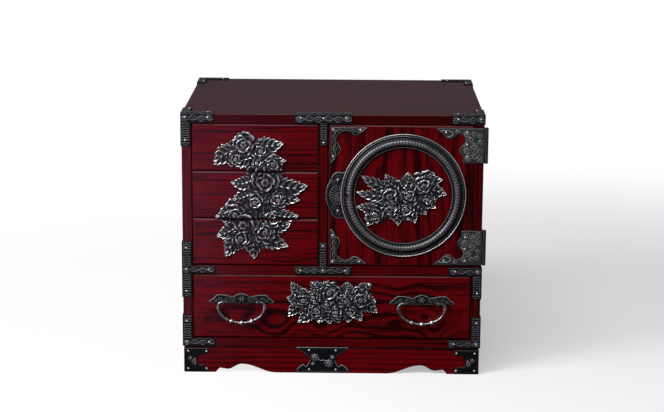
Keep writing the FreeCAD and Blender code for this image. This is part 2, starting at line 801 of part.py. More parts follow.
def lock_case():
    """The open-ended case behind the door that the bolt slides in."""
    y = lock_y()
    x0 = lock_x()
    z0 = lock_z - lock_case_h / 2
    case = box(x0, x0 + lock_case_w, y, y + lock_case_t, z0, z0 + lock_case_h)
    room = box(
        x0 + lock_wall, x0 + lock_case_w - lock_wall, y + lock_wall, y + lock_case_t - lock_wall,
        z0 + lock_wall, z0 + lock_case_h - lock_wall,
    )
    mouth_y = y + (lock_case_t - bolt_t) / 2 - bolt_fit
    mouth = box(
        x0, x0 + lock_wall, mouth_y, mouth_y + bolt_t + 2 * bolt_fit,
        lock_z - bolt_w / 2 - bolt_fit, lock_z + bolt_w / 2 + bolt_fit,
    )
    return case.cut(Part.makeCompound([room, mouth, keyhole()]))


def lock_bolt():
    """The bolt, drawn back so that the door can open; it slides left into the divider."""
    y0 = lock_y() + (lock_case_t - bolt_t) / 2
    x0 = lock_x() - bolt_tip
    x1 = lock_x() + lock_wall + bolt_tail
    return box(x0, x1, y0, y0 + bolt_t, lock_z - bolt_w / 2, lock_z + bolt_w / 2)


def door_panel():
    """The door's board, with bevelled front edges and the keyhole."""
    board = box(door_x0, door_x1, door_front, door_front + door_t, door_z0, door_z1)
    return bevelled(board, door_front, front_bevel).cut(keyhole())


# Reliefs


def leaf(start, tip, half_width, back_y):
    """A toothed leaf with a raised midrib, closed flat at the back; start and tip are (x, z)."""
    dx = tip[0] - start[0]
    dz = tip[1] - start[1]
    length = math.hypot(dx, dz)
    ax, az = dx / length, dz / length

    def at(along, side, h):
        a = along * length
        s = side * half_width
        return V(start[0] + ax * a - az * s, back_y - h, start[1] + az * a + ax * s)

    faces = []
    rim = leaf_outline_shares
    ridge = [at(a, 0, leaf_ridge_h * (1 - a / 2)) for a, _ in rim]
    tip_top = at(1, 0, leaf_edge_h)
    tip_low = at(1, 0, 0)
    outline_low = {}
    for side in (1, -1):
        top = [at(a, side * s, leaf_edge_h) for a, s in rim] + [tip_top]
        low = [at(a, side * s, 0) for a, s in rim] + [tip_low]
        spine = ridge + [tip_top]
        outline_low[side] = low
        for i in range(len(rim)):
            faces.append([low[i], low[i + 1], top[i + 1], top[i]])
            faces.append([top[i], top[i + 1], spine[i]])
            if i + 1 < len(rim):
                faces.append([top[i + 1], spine[i + 1], spine[i]])
    first = {side: at(rim[0][0], side * rim[0][1], leaf_edge_h) for side in (1, -1)}
    faces.append([outline_low[1][0], first[1], ridge[0], first[-1], outline_low[-1][0]])
    faces.append(outline_low[1] + outline_low[-1][-2::-1])
    shell = Part.makeShell([Part.Face(Part.makePolygon(f + f[:1])) for f in faces])
    solid = Part.makeSolid(shell)
    return solid if solid.Volume > 0 else solid.reversed()


def scalloped_disc(x, z, radius, count, turn, h, back_y):
    """A disc with a rim of outward arcs, one for each petal."""
    inner = radius * (1 - petal_scallop_share)
    edges = []
    for k in range(count):
        a0, a1 = [turn + 2 * math.pi * (k + d) / count for d in (0, 1)]
        am = (a0 + a1) / 2
        p0, p1 = [V(x + inner * math.cos(a), back_y, z + inner * math.sin(a)) for a in (a0, a1)]
        pm = V(x + radius * math.cos(am), back_y, z + radius * math.sin(am))
        edges.append(Part.Arc(p0, pm, p1).toShape())
    return Part.Face(Part.Wire(edges)).extrude(V(0, -h, 0))


def peony(x, z, radius, back_y):
    """Tiers of petals round a domed heart."""
    tiers = [
        scalloped_disc(x, z, radius * r, count, r * math.pi, relief_h * h, back_y)
        for r, h, count in petal_tier_shares
    ]
    heart_r = radius * heart_share
    dome_r = (heart_r ** 2 + relief_h ** 2 / 4) / relief_h
    centre = V(x, back_y - relief_h + dome_r, z)
    dome = Part.makeSphere(dome_r, centre)
    band = box(x - radius, x + radius, back_y - relief_h * 2, back_y - relief_h / 2, z - radius, z + radius)
    return tiers + [dome.common(band)]


def relief(cx, cz, w, h, flowers, leaves, back_y):
    """A relief of peonies over leaves as one solid, flat at the back."""
    mean = (w + h) / 4
    pieces = []
    for x0, z0, x1, z1, spread in leaves:
        start = (cx + x0 * w / 2, cz + z0 * h / 2)
        tip = (cx + x1 * w / 2, cz + z1 * h / 2)
        pieces.append(leaf(start, tip, spread * mean, back_y))
    for x, z, r in flowers:
        pieces += peony(cx + x * w / 2, cz + z * h / 2, r * mean, back_y)
    return pieces[0].multiFuse(pieces[1:])


# Drawers


def drawer(x0, x1, z0, z1, side_low):
    """A drawer box: front with bevelled edges, two sides lapped into it, back and a bottom in grooves."""
    rear = back_face - rear_gap
    side_high = z1 - side_drop
    front = bevelled(box(x0, x1, 0, front_t, z0, z1), 0, front_bevel)
    sides = [box(x, x + side_t, front_t - lap, rear, side_low, side_high) for x in (x0, x1 - side_t)]
    back = box(
        x0 + side_t - panel_groove, x1 - side_t + panel_groove, rear - side_t * 2, rear - side_t,
        side_low + floor_lift, side_high,
    )
    floor_z = side_low + floor_lift
    bottom = box(
        x0 + side_t - panel_groove, x1 - side_t + panel_groove, front_t - panel_groove, rear - side_t * 2,
        floor_z, floor_z + bottom_t,
    )
    inner = Part.makeCompound([back, bottom])
    front = front.cut(Part.makeCompound(sides + [bottom]))
    return {
        "front": front,
        "sides": Part.makeCompound([s.cut(inner) for s in sides]),
        "back": back,
        "bottom": bottom,
    }


def small_drawers():
    """The three small drawers with one relief cut across them, from the top down."""
    middle_x = (small_x0 + small_x1) / 2 + stack_relief_shift
    middle_z = (middle_top + top_low) / 2 - stack_room * stack_relief_drop_share
    whole = relief(middle_x, middle_z, stack_relief_w, stack_relief_h, stack_flower_shares, stack_leaf_shares, 0)
    parts = {}
    for n, name in enumerate(("lower", "middle", "upper")):
        z0 = middle_top + n * small_pitch + front_gap
        z1 = z0 + small_pitch - front_gap
        for piece, shape in drawer(small_x0, small_x1, z0, z1, z0 + runner_h + slide_gap).items():
            parts[f"{name}_drawer_{piece}"] = shape
        band = box(small_x0, small_x1, -relief_h * 2, 0, z0 + relief_gap, z1 - relief_gap)
        parts[f"{name}_drawer_relief"] = whole.common(band)
    return parts


def bail(x):
    """A bail handle: round sections along a low arc, a side arc, a corner and a pin end on each side. The low
    arc touches both side arcs and reaches the drop; the wire swells into knobs there."""
    a = bail_w / 2 - bail_wire_r
    drop = bail_drop - bail_knob_r - bail_corner_r
    k = a - bail_side_r
    low_r = (k * k + drop * drop - bail_side_r ** 2) / (2 * (drop - bail_side_r))
    low_turn = math.atan2(k, low_r - drop)
    z_side = bail_z - bail_corner_r
    # Each arc: centre, radius, and the directions of the path at its start and end
    arcs = [
        (0, z_side - drop + low_r, low_r, 0, low_turn),
        (k, z_side, bail_side_r, low_turn, math.pi / 2),
        (a - bail_corner_r, z_side, bail_corner_r, math.pi / 2, math.pi),
    ]
    stations = []
    for n in range(bail_knobs_each_side + 1):
        size = bail_knob_r * (1 - n * bail_knob_taper_share)
        middle = n * 2 * bail_knob_r
        for place, share in bail_knob_profile_shares:
            if middle + place * size >= 0:
                stations.append(((middle + place * size) / low_r, size * share))
        stations.append(((middle + bail_knob_r) / low_r, bail_wire_r))
    from_knobs = stations[-1][0]
    first = arcs[0][:3] + (from_knobs + (low_turn - from_knobs) / bail_arc_steps, low_turn)
    places = [(arcs[0], turn, r) for turn, r in stations]
    for arc in [first] + arcs[1:]:
        for n in range(bail_arc_steps):
            places.append((arc, arc[3] + (arc[4] - arc[3]) * n / bail_arc_steps, bail_wire_r))
    places.append((arcs[2], math.pi, bail_wire_r))

    def section(cx, cz, turn, r, sign):
        place = V(x + sign * cx, bail_pivot_y, cz)
        return Part.Wire(Part.makeCircle(r, place, V(math.cos(turn), 0, sign * math.sin(turn))))

    right = [(c[0] + c[2] * math.sin(t), c[1] - c[2] * math.cos(t), t, r) for c, t, r in places]
    right.append((bail_eye_x - bail_end, bail_z, math.pi, bail_wire_r))
    wires = [section(*p, -1) for p in reversed(right[1:])] + [section(*p, 1) for p in right]
    return Part.makeLoft(wires, True, True)


def bail_fittings(x):
    """A bail's back plate and its two posts; each post goes through plate and drawer front to a nut."""
    half = bail_plate_w / 2
    z0 = bail_z - bail_plate_low
    right = [(x + half * a, z0 + bail_plate_h * b) for a, b in bail_plate_shares]
    left = [(2 * x - px, pz) for px, pz in reversed(right) if px > x]
    plate = front_plate(right + left, 0, iron_t)
    posts = []
    holes = []
    for sign in (-1, 1):
        place = V(x + sign * bail_eye_x, bail_pivot_y, bail_z)
        eye = Part.makeSphere(bail_eye_r, place)
        shank = Part.makeCylinder(bail_post_r, bail_pivot_out + front_t + bail_nut_t, place, V(0, 1, 0))
        nut = Part.makeCylinder(bail_nut_r, bail_nut_t, V(place.x, front_t, bail_z), V(0, 1, 0))
        side = V(bail_eye_r, 0, 0)
        pin_hole = Part.makeCylinder(bail_wire_r + bail_fit, bail_eye_r * 2, place - side, V(1, 0, 0))
        posts.append(fused([eye, shank, nut]).cut(pin_hole))
        mouth = V(place.x, -iron_t, bail_z)
        holes.append(Part.makeCylinder(bail_post_r + nail_fit, front_t + iron_t, mouth, V(0, 1, 0)))
    return plate, posts, holes


def large_drawer():
    """The wide drawer with its relief, and the fittings of its two bails."""
    pieces = drawer(-large_x1, large_x1, large_z0, large_z1, bottom_top + slide_gap)
    parts = {f"large_drawer_{k}": s for k, s in pieces.items()}
    parts["large_drawer_relief"] = relief(
        0, (large_z0 + large_z1) / 2 + wide_relief_rise, wide_relief_w, wide_relief_h, wide_flower_shares,
        wide_leaf_shares, 0,
    )
    plates = []
    posts = []
    for name, x in (("left", -bail_x), ("right", bail_x)):
        plate, two_posts, holes = bail_fittings(x)
        holes = Part.makeCompound(holes)
        plates.append(plate.cut(holes))
        posts += two_posts
        parts["large_drawer_front"] = parts["large_drawer_front"].cut(holes)
        parts[f"{name}_bail"] = bail(x)
    parts["bail_plates"] = Part.makeCompound(plates)
    parts["bail_posts"] = Part.makeCompound(posts)
    return parts


def build():
    """Every piece by its name."""
    parts = carcass()
    parts["divider_board"] = parts["divider_board"].cut(bolt_room())
    parts["drawer_runners"] = runners()
    parts.update(base_boards())

    short_leg = board_t - iron_margin
    parts["top_left_bracket"] = corner_top(bracket_leg)
    parts["top_right_bracket"] = mirrored(corner_top(short_leg))
    parts["rear_corner_brackets"] = Part.makeCompound([corner_rear(), mirrored(corner_rear())])
    parts["left_middle_bracket"] = side_middle(side_tee_leg)
    parts["right_middle_bracket"] = mirrored(side_middle(-iron_margin / 2))
    parts["bottom_left_bracket"] = corner_low()
    parts["bottom_right_bracket"] = mirrored(corner_low())
    parts.update(centre_irons())
    base_corner, base_centre, base_nails = base_plates()
    parts["base_corner_plates"] = Part.makeCompound([base_corner, mirrored(base_corner)])
    parts["base_centre_plate"] = base_centre

    door_leaves, side_leaves, pins, hinge_nails, side_nails = hinges()
    parts["hinge_side_leaves"] = Part.makeCompound(side_leaves)
    parts["hinge_pins"] = Part.makeCompound(pins)
    frame_nails = corner_nails(-1, bracket_leg) + corner_nails(1, short_leg)
    frame_nails += lower_nails(-1, middle_top + side_tee_leg) + lower_nails(1, middle_top)
    frame_nails += centre_nails() + base_nails + side_nails
    for name in list(parts):
        if name not in ("drawer_runners", "hinge_pins"):
            parts[name] = holed(parts[name], frame_nails)
    parts["frame_nails"] = Part.makeCompound([nail(*n) for n in frame_nails])

    plates, plate_places = corner_plates()
    lock_nail_z = lock_nail_share * lock_plate_h / 2
    lock_places = [(lock_plate_x + lock_nail_in, lock_z + s * lock_nail_z) for s in (-1, 1)]
    door_nails = front_nails(hinge_nails + plate_places + lock_places, door_front - iron_t)
    parts["door_panel"] = holed(door_panel(), door_nails)
    parts["door_hinge_leaves"] = holed(Part.makeCompound(door_leaves), door_nails)
    parts["door_corner_plates"] = holed(Part.makeCompound(plates), door_nails)
    parts["lock_plate"] = holed(lock_plate(), door_nails)
    parts["door_nails"] = Part.makeCompound([nail(*n) for n in door_nails])
    ring = ring_profile().revolve(V(ring_x, 0, ring_z), V(0, 1, 0), 360)
    parts["door_ring"] = ring.cut(keyhole())
    parts["door_relief"] = relief(
        ring_x - door_relief_left, ring_z - door_relief_low, door_relief_w, door_relief_h,
        door_flower_shares, door_leaf_shares, door_front,
    )
    parts["lock_case"] = lock_case()
    parts["lock_bolt"] = lock_bolt()
    parts.update(small_drawers())
    parts.update(large_drawer())
    return parts


os.makedirs("parts", exist_ok=True)
for name, shape in build().items():
    shape.translate(-origin)
    shape.exportStep(f"parts/{name}.step")
    volumes = [round(s.Volume) for s in shape.Solids]
    if not shape.isValid() or min(volumes) <= 0:
        print("check", name, shape.isValid(), volumes)
print("origin", origin)
print("door axis", V(hinge_x, hinge_y, 0) - origin)
print("bail pivots", V(bail_x, bail_pivot_y, bail_z) - origin)
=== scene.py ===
import json
import math

import bpy
import numpy as np
from mathutils import Matrix, Vector


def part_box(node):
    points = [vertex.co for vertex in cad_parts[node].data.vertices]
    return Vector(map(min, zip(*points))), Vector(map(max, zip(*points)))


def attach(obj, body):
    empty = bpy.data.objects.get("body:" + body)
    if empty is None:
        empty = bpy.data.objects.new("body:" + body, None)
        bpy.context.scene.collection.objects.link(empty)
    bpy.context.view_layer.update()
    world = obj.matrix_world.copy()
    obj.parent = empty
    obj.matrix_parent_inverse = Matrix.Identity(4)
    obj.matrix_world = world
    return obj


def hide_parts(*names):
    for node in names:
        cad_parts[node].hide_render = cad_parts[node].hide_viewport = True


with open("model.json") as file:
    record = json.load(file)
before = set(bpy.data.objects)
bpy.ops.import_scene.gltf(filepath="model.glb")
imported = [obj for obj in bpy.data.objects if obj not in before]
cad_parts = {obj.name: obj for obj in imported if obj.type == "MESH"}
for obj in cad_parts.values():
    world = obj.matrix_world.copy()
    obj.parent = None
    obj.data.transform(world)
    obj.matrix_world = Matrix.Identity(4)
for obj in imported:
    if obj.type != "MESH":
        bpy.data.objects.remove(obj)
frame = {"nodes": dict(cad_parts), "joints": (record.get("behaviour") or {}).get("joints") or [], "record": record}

bl_info = {
    "name": "Lacquered clothing chest",
    "version": (1, 0, 0),
    "blender": (4, 5, 0),
    "location": "View3D > Sidebar > Chest",
    "description": "Lacquer, chased iron and reliefs for a small clothing chest",
    "category": "Object",
}

# Places are worked out in millimetres from the middle of the carcass's front edge on the floor: x to the
# right, y to the back, z up. The top board says where that point lies in the frame.
MM = 1000.0
_top_low, _top_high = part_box("top_board")
CORNER = np.array([(_top_low.x + _top_high.x) / 2, _top_low.y, 0.0])
X, Y, Z = np.eye(3)


def span(node):
    """The lowest and highest corner of a node, in millimetres from the carcass's front edge."""
    low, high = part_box(node)
    return (np.array(low) - CORNER) * MM, (np.array(high) - CORNER) * MM


TOP_LOW, TOP_HIGH = span("top_board")
HALF_W = TOP_HIGH[0]
HEIGHT = TOP_HIGH[2]
BOARD_T = TOP_HIGH[2] - TOP_LOW[2]
DEPTH = TOP_HIGH[1]
DOOR_LOW, DOOR_HIGH = span("door_panel")
DOOR_FRONT = DOOR_LOW[1]
SHELF_LOW, SHELF_HIGH = span("middle_board")
DIVIDER_LOW, DIVIDER_HIGH = span("divider_board")
DIVIDER_X = (DIVIDER_LOW[0] + DIVIDER_HIGH[0]) / 2
BASE_LOW, BASE_HIGH = span("base_front_board")
RING_LOW, RING_HIGH = span("door_ring")
RING_X = (RING_LOW[0] + RING_HIGH[0]) / 2
RING_Z = (RING_LOW[2] + RING_HIGH[2]) / 2
RING_R = (RING_HIGH[0] - RING_LOW[0]) / 2
BAIL_PIVOTS = {
    joint["child"]: (np.array(joint["pos_m"]) - CORNER) * MM
    for joint in frame["joints"] if joint["child"].endswith("_bail")
}

# Sheet iron, as the construction has it
IRON_T = 1.3
IRON_MARGIN = 0.5
SHELF_MARGIN = 0.25
ARM_FACE = BOARD_T - IRON_MARGIN
WRAP = 13.0
STEM = 6.0
PLATE_IN = 3.4
NAIL_TOP = 2.4
HINGE_PLATE = (72.0, 53.5)
DOOR_CORNER_SHARE = 0.255
BASE_CORNER_W = 38.5
BAIL_PLATE_H = 17.0

# Lock plate: how far in its notches and lobes lie and how wide the lobes are; then, as shares of half its
# height or of a lobe's width, where the notch and the lobe's bulge lie
LOCK_NOTCH_IN = 8.3
LOCK_LOBE_W = 14.4
LOCK_NOTCH_Z = 0.69
LOCK_BULGE = (0.24, 0.92)

# A thin skin of chasing stands SKIN above the construction's plate, on the brackets STRIP_EDGE in from their
# edges; a plate that is replaced has its full thickness. A look is the height, the strength of the pattern,
# the rims' distances, the drop at the edge and the share of the rims' height.
SKIN = 0.14
STRIP_EDGE = 0.35
BRACKET_LOOK = (SKIN, 1.3, (0.55,), 0.1, 0.12)
LOCK_LOOK = (IRON_T, 1.0, (0.7, 2.3), 0.5, 0.5)
DOOR_CORNER_LOOK = (IRON_T, 1.3, (0.7,), 0.5, 0.1)
HINGE_LOOK = (SKIN, 1.7, (0.6,), 0.1, 0.3)
BASE_CENTRE_LOOK = (IRON_T, 2.8, (0.7,), 0.5, 0.0)
BASE_CORNER_LOOK = (SKIN, 2.0, (0.6,), 0.1, 0.0)
BAIL_PLATE_LOOK = (IRON_T, 1.3, (0.7,), 0.5, 0.15)

# Ring: its profile as (distance inwards from the outer edge, height over the door), where on it the bead and
# the keyhole lie, and the points round it
RING_PROFILE = [
    (0.0, 0.0), (0.0, 1.6), (0.5, 2.7), (1.2, 3.0), (1.9, 2.6), (2.4, 1.8), (3.2, 1.7), (4.2, 2.3), (4.9, 1.5),
    (5.5, 0.9), (7.4, 0.8), (8.2, 1.2), (8.7, 2.4), (9.1, 3.8), (9.9, 5.4), (11.2, 6.7), (13.3, 7.15),
    (15.4, 6.8), (16.9, 5.6), (17.9, 3.9), (18.5, 2.3), (19.2, 1.2), (20.0, 1.0), (20.3, 2.2), (20.9, 3.0),
    (21.6, 2.8), (21.9, 1.8), (21.9, 0.0),
]
BEAD_IN = 13.3
BEAD_HALF = 5.2
KEYHOLE_IN = 8.2
KEYHOLE_R = 3.2
KEYHOLE_RIM_R = 4.2
POINTS_PER_RIB = 8

# The grid step of the finer plates as a share of the common one
FINE = 0.9

# Bail handles: the bar's own radius is BAIL_R; the construction's is BAIL_WIRE_R. Knots lie at these
# distances from the middle along the bar, each with its size and half length.
BAIL_W = 75.5
BAIL_DROP = 36.0
BAIL_CORNER_R = 6.5
BAIL_SIDE_R = 22.0
BAIL_WIRE_R = 2.2
BAIL_KNOB_R = 3.5
BAIL_PIN_X = 22.5
BAIL_R = 2.15
BAIL_STEP = 0.25
BAIL_SIDES = 20
BAIL_KNOTS = [(0.0, 1.15, 3.0), (8.2, 0.35, 1.6), (15.8, 1.15, 3.0), (23.5, 0.4, 2.0), (47.0, 0.6, 4.0)]

# Reliefs: the layouts give flowers as (x, z, radius) and leaves as (from x, from z, to x, to z, half width),
# x and widths as shares of half the relief's width, z of half its height
DOOR_RELIEF = (RING_X - 3.0, RING_Z - 4.4, 140.4, 90.0)
WIDE_RELIEF = (0.0, sum(corner[2] for corner in span("large_drawer_front")) / 2 + 8.0, 142.0, 71.0)
STACK_RELIEF = (-108.0, (SHELF_HIGH[2] + TOP_LOW[2]) / 2 - 3.0, 144.6, 198.4)
DOOR_FLOWERS = [
    (0.16, 0.06, 0.24), (-0.21, 0.12, 0.36), (-0.56, -0.50, 0.27), (0.50, 0.50, 0.33), (0.14, -0.42, 0.24),
    (-0.20, -0.36, 0.26), (0.58, 0.02, 0.22),
]
DOOR_LEAVES = [
    (-0.30, 0.10, -0.99, 0.22, 0.12), (-0.30, 0.30, -0.88, 0.78, 0.13), (-0.5, -0.4, -0.98, -0.30, 0.12),
    (-0.50, -0.50, -0.74, -0.96, 0.13), (0.0, -0.30, -0.06, -0.95, 0.15), (0.10, -0.30, 0.31, -0.86, 0.14),
    (0.20, -0.20, 0.55, -0.56, 0.14), (0.40, 0.20, 0.76, -0.32, 0.15), (0.50, 0.35, 0.99, 0.14, 0.14),
    (0.40, 0.50, 0.90, 0.66, 0.14), (-0.05, 0.35, -0.36, 0.84, 0.15), (0.05, 0.35, 0.14, 0.92, 0.16),
]
WIDE_FLOWERS = [
    (0.28, 0.10, 0.22), (-0.36, 0.22, 0.20), (-0.07, 0.34, 0.31), (-0.66, 0.10, 0.27), (0.62, 0.22, 0.29),
    (0.14, -0.46, 0.24), (-0.36, -0.38, 0.24), (0.42, -0.40, 0.20), (-0.06, -0.14, 0.22),
]
WIDE_LEAVES = [
    (-0.6, 0.3, -0.88, 0.92, 0.12), (-0.6, 0.1, -0.98, 0.20, 0.14), (-0.6, -0.1, -0.94, -0.66, 0.14),
    (-0.4, -0.3, -0.74, -0.92, 0.14), (0.0, -0.3, -0.04, -0.98, 0.16), (-0.2, -0.3, -0.30, -0.94, 0.13),
    (0.30, -0.3, 0.36, -0.93, 0.14), (0.5, -0.1, 0.66, -0.84, 0.14), (0.6, 0.0, 0.99, -0.46, 0.15),
    (0.6, 0.2, 0.97, 0.04, 0.13), (0.6, 0.4, 0.86, 0.84, 0.13), (0.3, 0.4, 0.34, 0.93, 0.15),
    (-0.3, 0.4, -0.46, 0.92, 0.15), (-0.1, 0.4, -0.08, 0.98, 0.15),
]
STACK_FLOWERS = [
    (-0.04, 0.72, 0.26), (-0.08, 0.56, 0.20), (-0.36, 0.78, 0.34), (0.06, 0.28, 0.43), (-0.10, -0.06, 0.26),
    (-0.36, -0.38, 0.47), (0.22, 0.50, 0.28), (-0.56, -0.24, 0.30), (0.24, -0.34, 0.26), (-0.40, -0.62, 0.30),
    (0.06, -0.58, 0.32), (0.34, -0.02, 0.24), (-0.52, 0.62, 0.22),
]
STACK_LEAVES = [
    (-0.5, 0.74, -0.99, 0.50, 0.20), (-0.1, 0.80, 0.48, 0.84, 0.18), (-0.2, 0.62, -0.70, 0.60, 0.15),
    (0.0, 0.60, 0.54, 0.58, 0.15), (-0.2, 0.26, -0.64, 0.23, 0.14), (0.3, 0.20, 0.99, 0.19, 0.19),
    (0.3, 0.10, 0.83, -0.04, 0.16), (0.1, 0.04, 0.52, -0.14, 0.16), (-0.2, 0.06, -0.60, -0.04, 0.17),
    (-0.5, -0.26, -0.97, -0.30, 0.15), (0.3, -0.26, 0.80, -0.28, 0.14), (0.2, -0.46, 0.64, -0.40, 0.14),
    (0.0, -0.56, 0.58, -0.76, 0.18), (-0.1, -0.60, -0.14, -0.97, 0.18), (-0.4, -0.60, -0.75, -0.94, 0.18),
    (-0.5, -0.46, -0.94, -0.62, 0.16), (0.1, 0.0, 0.10, -0.40, 0.20),
]

# How far above a drawer front's lower edge and below its upper edge the stack's relief is cut
STACK_CUT = (1.5, 1.4)

# Petal tiers of a peony from the outside in: reach and petal size as shares of its radius, number of petals,
# and the height of the petals' roots as a share of the relief's height
PETAL_TIERS = [(1.0, 0.46, 7, 0.12), (0.76, 0.40, 6, 0.33), (0.50, 0.32, 4, 0.54)]

# Outlines of the plates as shares of their sizes
TONGUE = [
    (0.0, 1.0), (0.02, 0.94), (0.06, 0.89), (0.12, 0.855), (0.16, 0.79), (0.22, 0.715), (0.30, 0.68),
    (0.366, 0.726), (0.415, 0.80), (0.476, 0.84), (0.537, 0.82), (0.585, 0.74), (0.60, 0.645), (0.565, 0.55),
    (0.50, 0.45), (0.475, 0.355), (0.50, 0.274), (0.55, 0.22), (0.56, 0.13), (0.56, 0.0), (1.0, 0.0),
    (1.0, 1.0),
]
DOOR_CORNER = [
    (0.0, 0.0), (1.0, 0.0), (0.88, 0.13), (0.74, 0.21), (0.62, 0.22), (0.50, 0.13), (0.36, 0.12),
    (0.26, 0.19), (0.19, 0.26), (0.17, 0.37), (0.24, 0.50), (0.28, 0.60), (0.24, 0.72), (0.14, 0.80),
    (0.12, 0.90), (0.0, 1.0),
]
BASE_CORNER = [
    (0.0, 0.0), (1.0, 0.0), (0.90, 0.10), (0.78, 0.30), (0.70, 0.33), (0.62, 0.27), (0.53, 0.33),
    (0.48, 0.45), (0.50, 0.60), (0.58, 0.71), (0.72, 0.77), (0.90, 0.78), (0.97, 0.86), (0.97, 1.0), (0.0, 1.0),
]
BASE_CENTRE = [
    (0.98, 0.03), (0.96, 0.16), (0.72, 0.36), (0.62, 0.22), (0.49, 0.45), (0.46, 0.55), (0.58, 0.68),
    (0.80, 0.83), (0.97, 0.92), (0.98, 1.0),
]
BAIL_PLATE = [
    (0.0, 0.06), (0.08, 0.0), (0.30, 0.05), (0.78, 0.05), (0.84, 0.02), (0.99, 0.08), (1.0, 0.26),
    (0.88, 0.46), (0.78, 0.80), (0.70, 0.86), (0.50, 0.82), (0.28, 0.68), (0.22, 0.72), (0.16, 0.86),
    (0.0, 1.0),
]

# Scrolls on the plates: (x, z, radius, phase, hand of winding)
HINGE_SCROLLS = [
    (45.0, 9.0, 4.2, 0.6, 1), (41.5, 22.5, 4.6, 2.4, -1), (51.5, 17.5, 4.0, 4.0, 1), (46.5, 33.5, 5.0, 1.0, 1),
    (57.5, 28.0, 4.8, 3.4, -1), (48.0, 46.0, 4.2, 5.0, -1), (58.5, 41.5, 5.0, 0.2, 1),
    (65.5, 35.0, 3.6, 2.2, 1), (66.0, 48.5, 3.4, 1.4, -1), (66.5, 21.0, 3.2, 4.6, -1), (32.0, 5.0, 3.0, 3.0, 1),
    (56.5, 8.5, 3.4, 0.9, 1), (65.0, 11.0, 3.2, 2.9, -1),
]
LOCK_SCROLLS = [
    (13.5, 19.0, 4.0, 0.4, 1), (13.5, -19.0, 4.0, -0.4, -1), (19.5, 27.5, 3.4, 2.0, -1),
    (19.5, -27.5, 3.4, -2.0, 1),
]
BASE_CENTRE_SCROLLS = [
    (-12.0, 3.6, 4.6, 0.4, 1), (9.6, -5.6, 4.8, 2.6, -1), (15.2, 4.2, 2.4, 4.0, 1), (-15.0, -6.4, 2.0, 1.2, -1),
]
BASE_CORNER_SCROLLS = [(15.5, 17.0, 4.2, 0.6, 1), (8.4, 21.4, 2.6, 3.0, -1)]
BAIL_PLATE_SCROLLS = [
    (14.0, 7.6, 3.6, 0.5, 1), (22.0, 6.6, 3.0, 3.2, -1), (32.5, 6.4, 3.0, 0.0, 1), (39.0, 4.2, 2.2, 2.6, -1),
]

# Lacquered boards: material, axis of the grain, spacing of the rings, offset of the heart, slow and quick
# sway, strength of the rings and of the streaks, tone, seed, and where they differ the pace of the sway and
# how narrow the dark lines are
BOARDS = {
    "top_board": ("lacquer_top", "x", 9.0, (230.0, 20.0), (40.0, 3.0), 0.4, 0.2, 0.36, 1.3),
    "bottom_board": ("lacquer_rail_low", "x", 5.5, (160.0, 10.0), (12.0, 1.5), 0.7, 0.5, 0.8, 2.1),
    "middle_board": ("lacquer_rail", "x", 5.0, (150.0, 10.0), (10.0, 1.5), 0.7, 0.5, 0.85, 3.7),
    "left_side_board": ("lacquer_left", "z", 8.0, (150.0, 30.0), (30.0, 2.0), 0.6, 0.4, 0.8, 4.2),
    # Painted shade: the right side board is given a darker tone than the left, as the side away from the lamps.
    "right_side_board": ("lacquer_right", "z", 8.0, (130.0, 30.0), (30.0, 2.0), 0.7, 0.5, 0.65, 5.4),
    "divider_board": ("lacquer_divider", "z", 5.0, (90.0, 5.0), (8.0, 1.0), 0.6, 0.5, 0.7, 6.6),
    "base_front_board": ("lacquer_base", "x", 8.0, (60.0, 25.0), (40.0, 2.5), 0.8, 0.4, 1.15, 7.9),
    "door_panel": ("lacquer_door", "z", 21.0, (60.0, 45.0), (110.0, 16.0), 0.8, 0.8, 1.02, 8.3, 1.4, 1.2),
    "upper_drawer_front": ("lacquer_upper", "x", 6.8, (300.0, 10.0), (22.0, 3.6), 0.5, 0.9, 1.03, 9.1),
    "middle_drawer_front": ("lacquer_middle", "x", 6.8, (330.0, 10.0), (24.0, 3.8), 0.5, 0.9, 1.03, 10.7),
    "lower_drawer_front": ("lacquer_lower", "x", 9.0, (70.0, 30.0), (60.0, 6.0), 0.8, 0.8, 1.07, 11.9, 1.5),
    "large_drawer_front": (
        "lacquer_wide", "x", 13.0, (-98.0, 26.0), (130.0, 9.0), 1.2, 0.55, 1.12, 12.4, 2.0, 1.9
    ),
}

# Stage, in metres: the floor's reach; lamps by name, place, size and power in watts, aimed at one point; the
# camera's focal length and picture width in pixels, its yaw, pitch and roll in degrees, and its place
FLOOR_REACH = 9.0
LAMPS = [
    ("key", (-1.7, -1.3, 1.5), (1.0, 1.0), 46.0),
    ("overhead", (-0.4, -1.4, 2.3), (1.4, 0.8), 34.0),
    ("fill", (2.2, -2.2, 1.2), (1.0, 1.0), 7.0),
]
LAMP_AIM = (0.0, 0.0, 0.2)
CAMERA_FOCUS_PX = 1832.0
PICTURE_PX = 664.0
SENSOR_MM = 36.0
CAMERA_TURN = (-0.58, 12.637, 0.37)
CAMERA_PLACE = (0.027, -2.707, 0.872)


def length_property(label, about, default, low=0.0):
    """A length that can be set in the panel."""
    return bpy.props.FloatProperty(name=label, description=about, default=default, min=low, unit="LENGTH")


def colour_property(label, about, default):
    """A colour that can be set in the panel."""
    return bpy.props.FloatVectorProperty(
        name=label, description=about, default=default, subtype="COLOR", size=3, min=0.0, max=1.0
    )


class ChestSizes(bpy.types.PropertyGroup):
    """Sizes of the modelled metalwork."""

    cell: length_property("Cell", "Grid step of the chased metal", 0.0005, 0.0002)
    relief_height: length_property("Relief height", "How far the peonies stand out", 0.0065, 0.001)
    rim_height: length_property("Rim height", "Raised line along the edge of a plate", 0.0003)
    scroll_height: length_property("Scroll height", "Raised scrolls on the plates", 0.0004)
    ribs: bpy.props.IntProperty(
        name="Ribs", description="Ribs round the bead of the door's ring", default=112, min=8, max=400
    )
    rib_depth: length_property("Rib depth", "Depth of the grooves between the ribs", 0.00032)


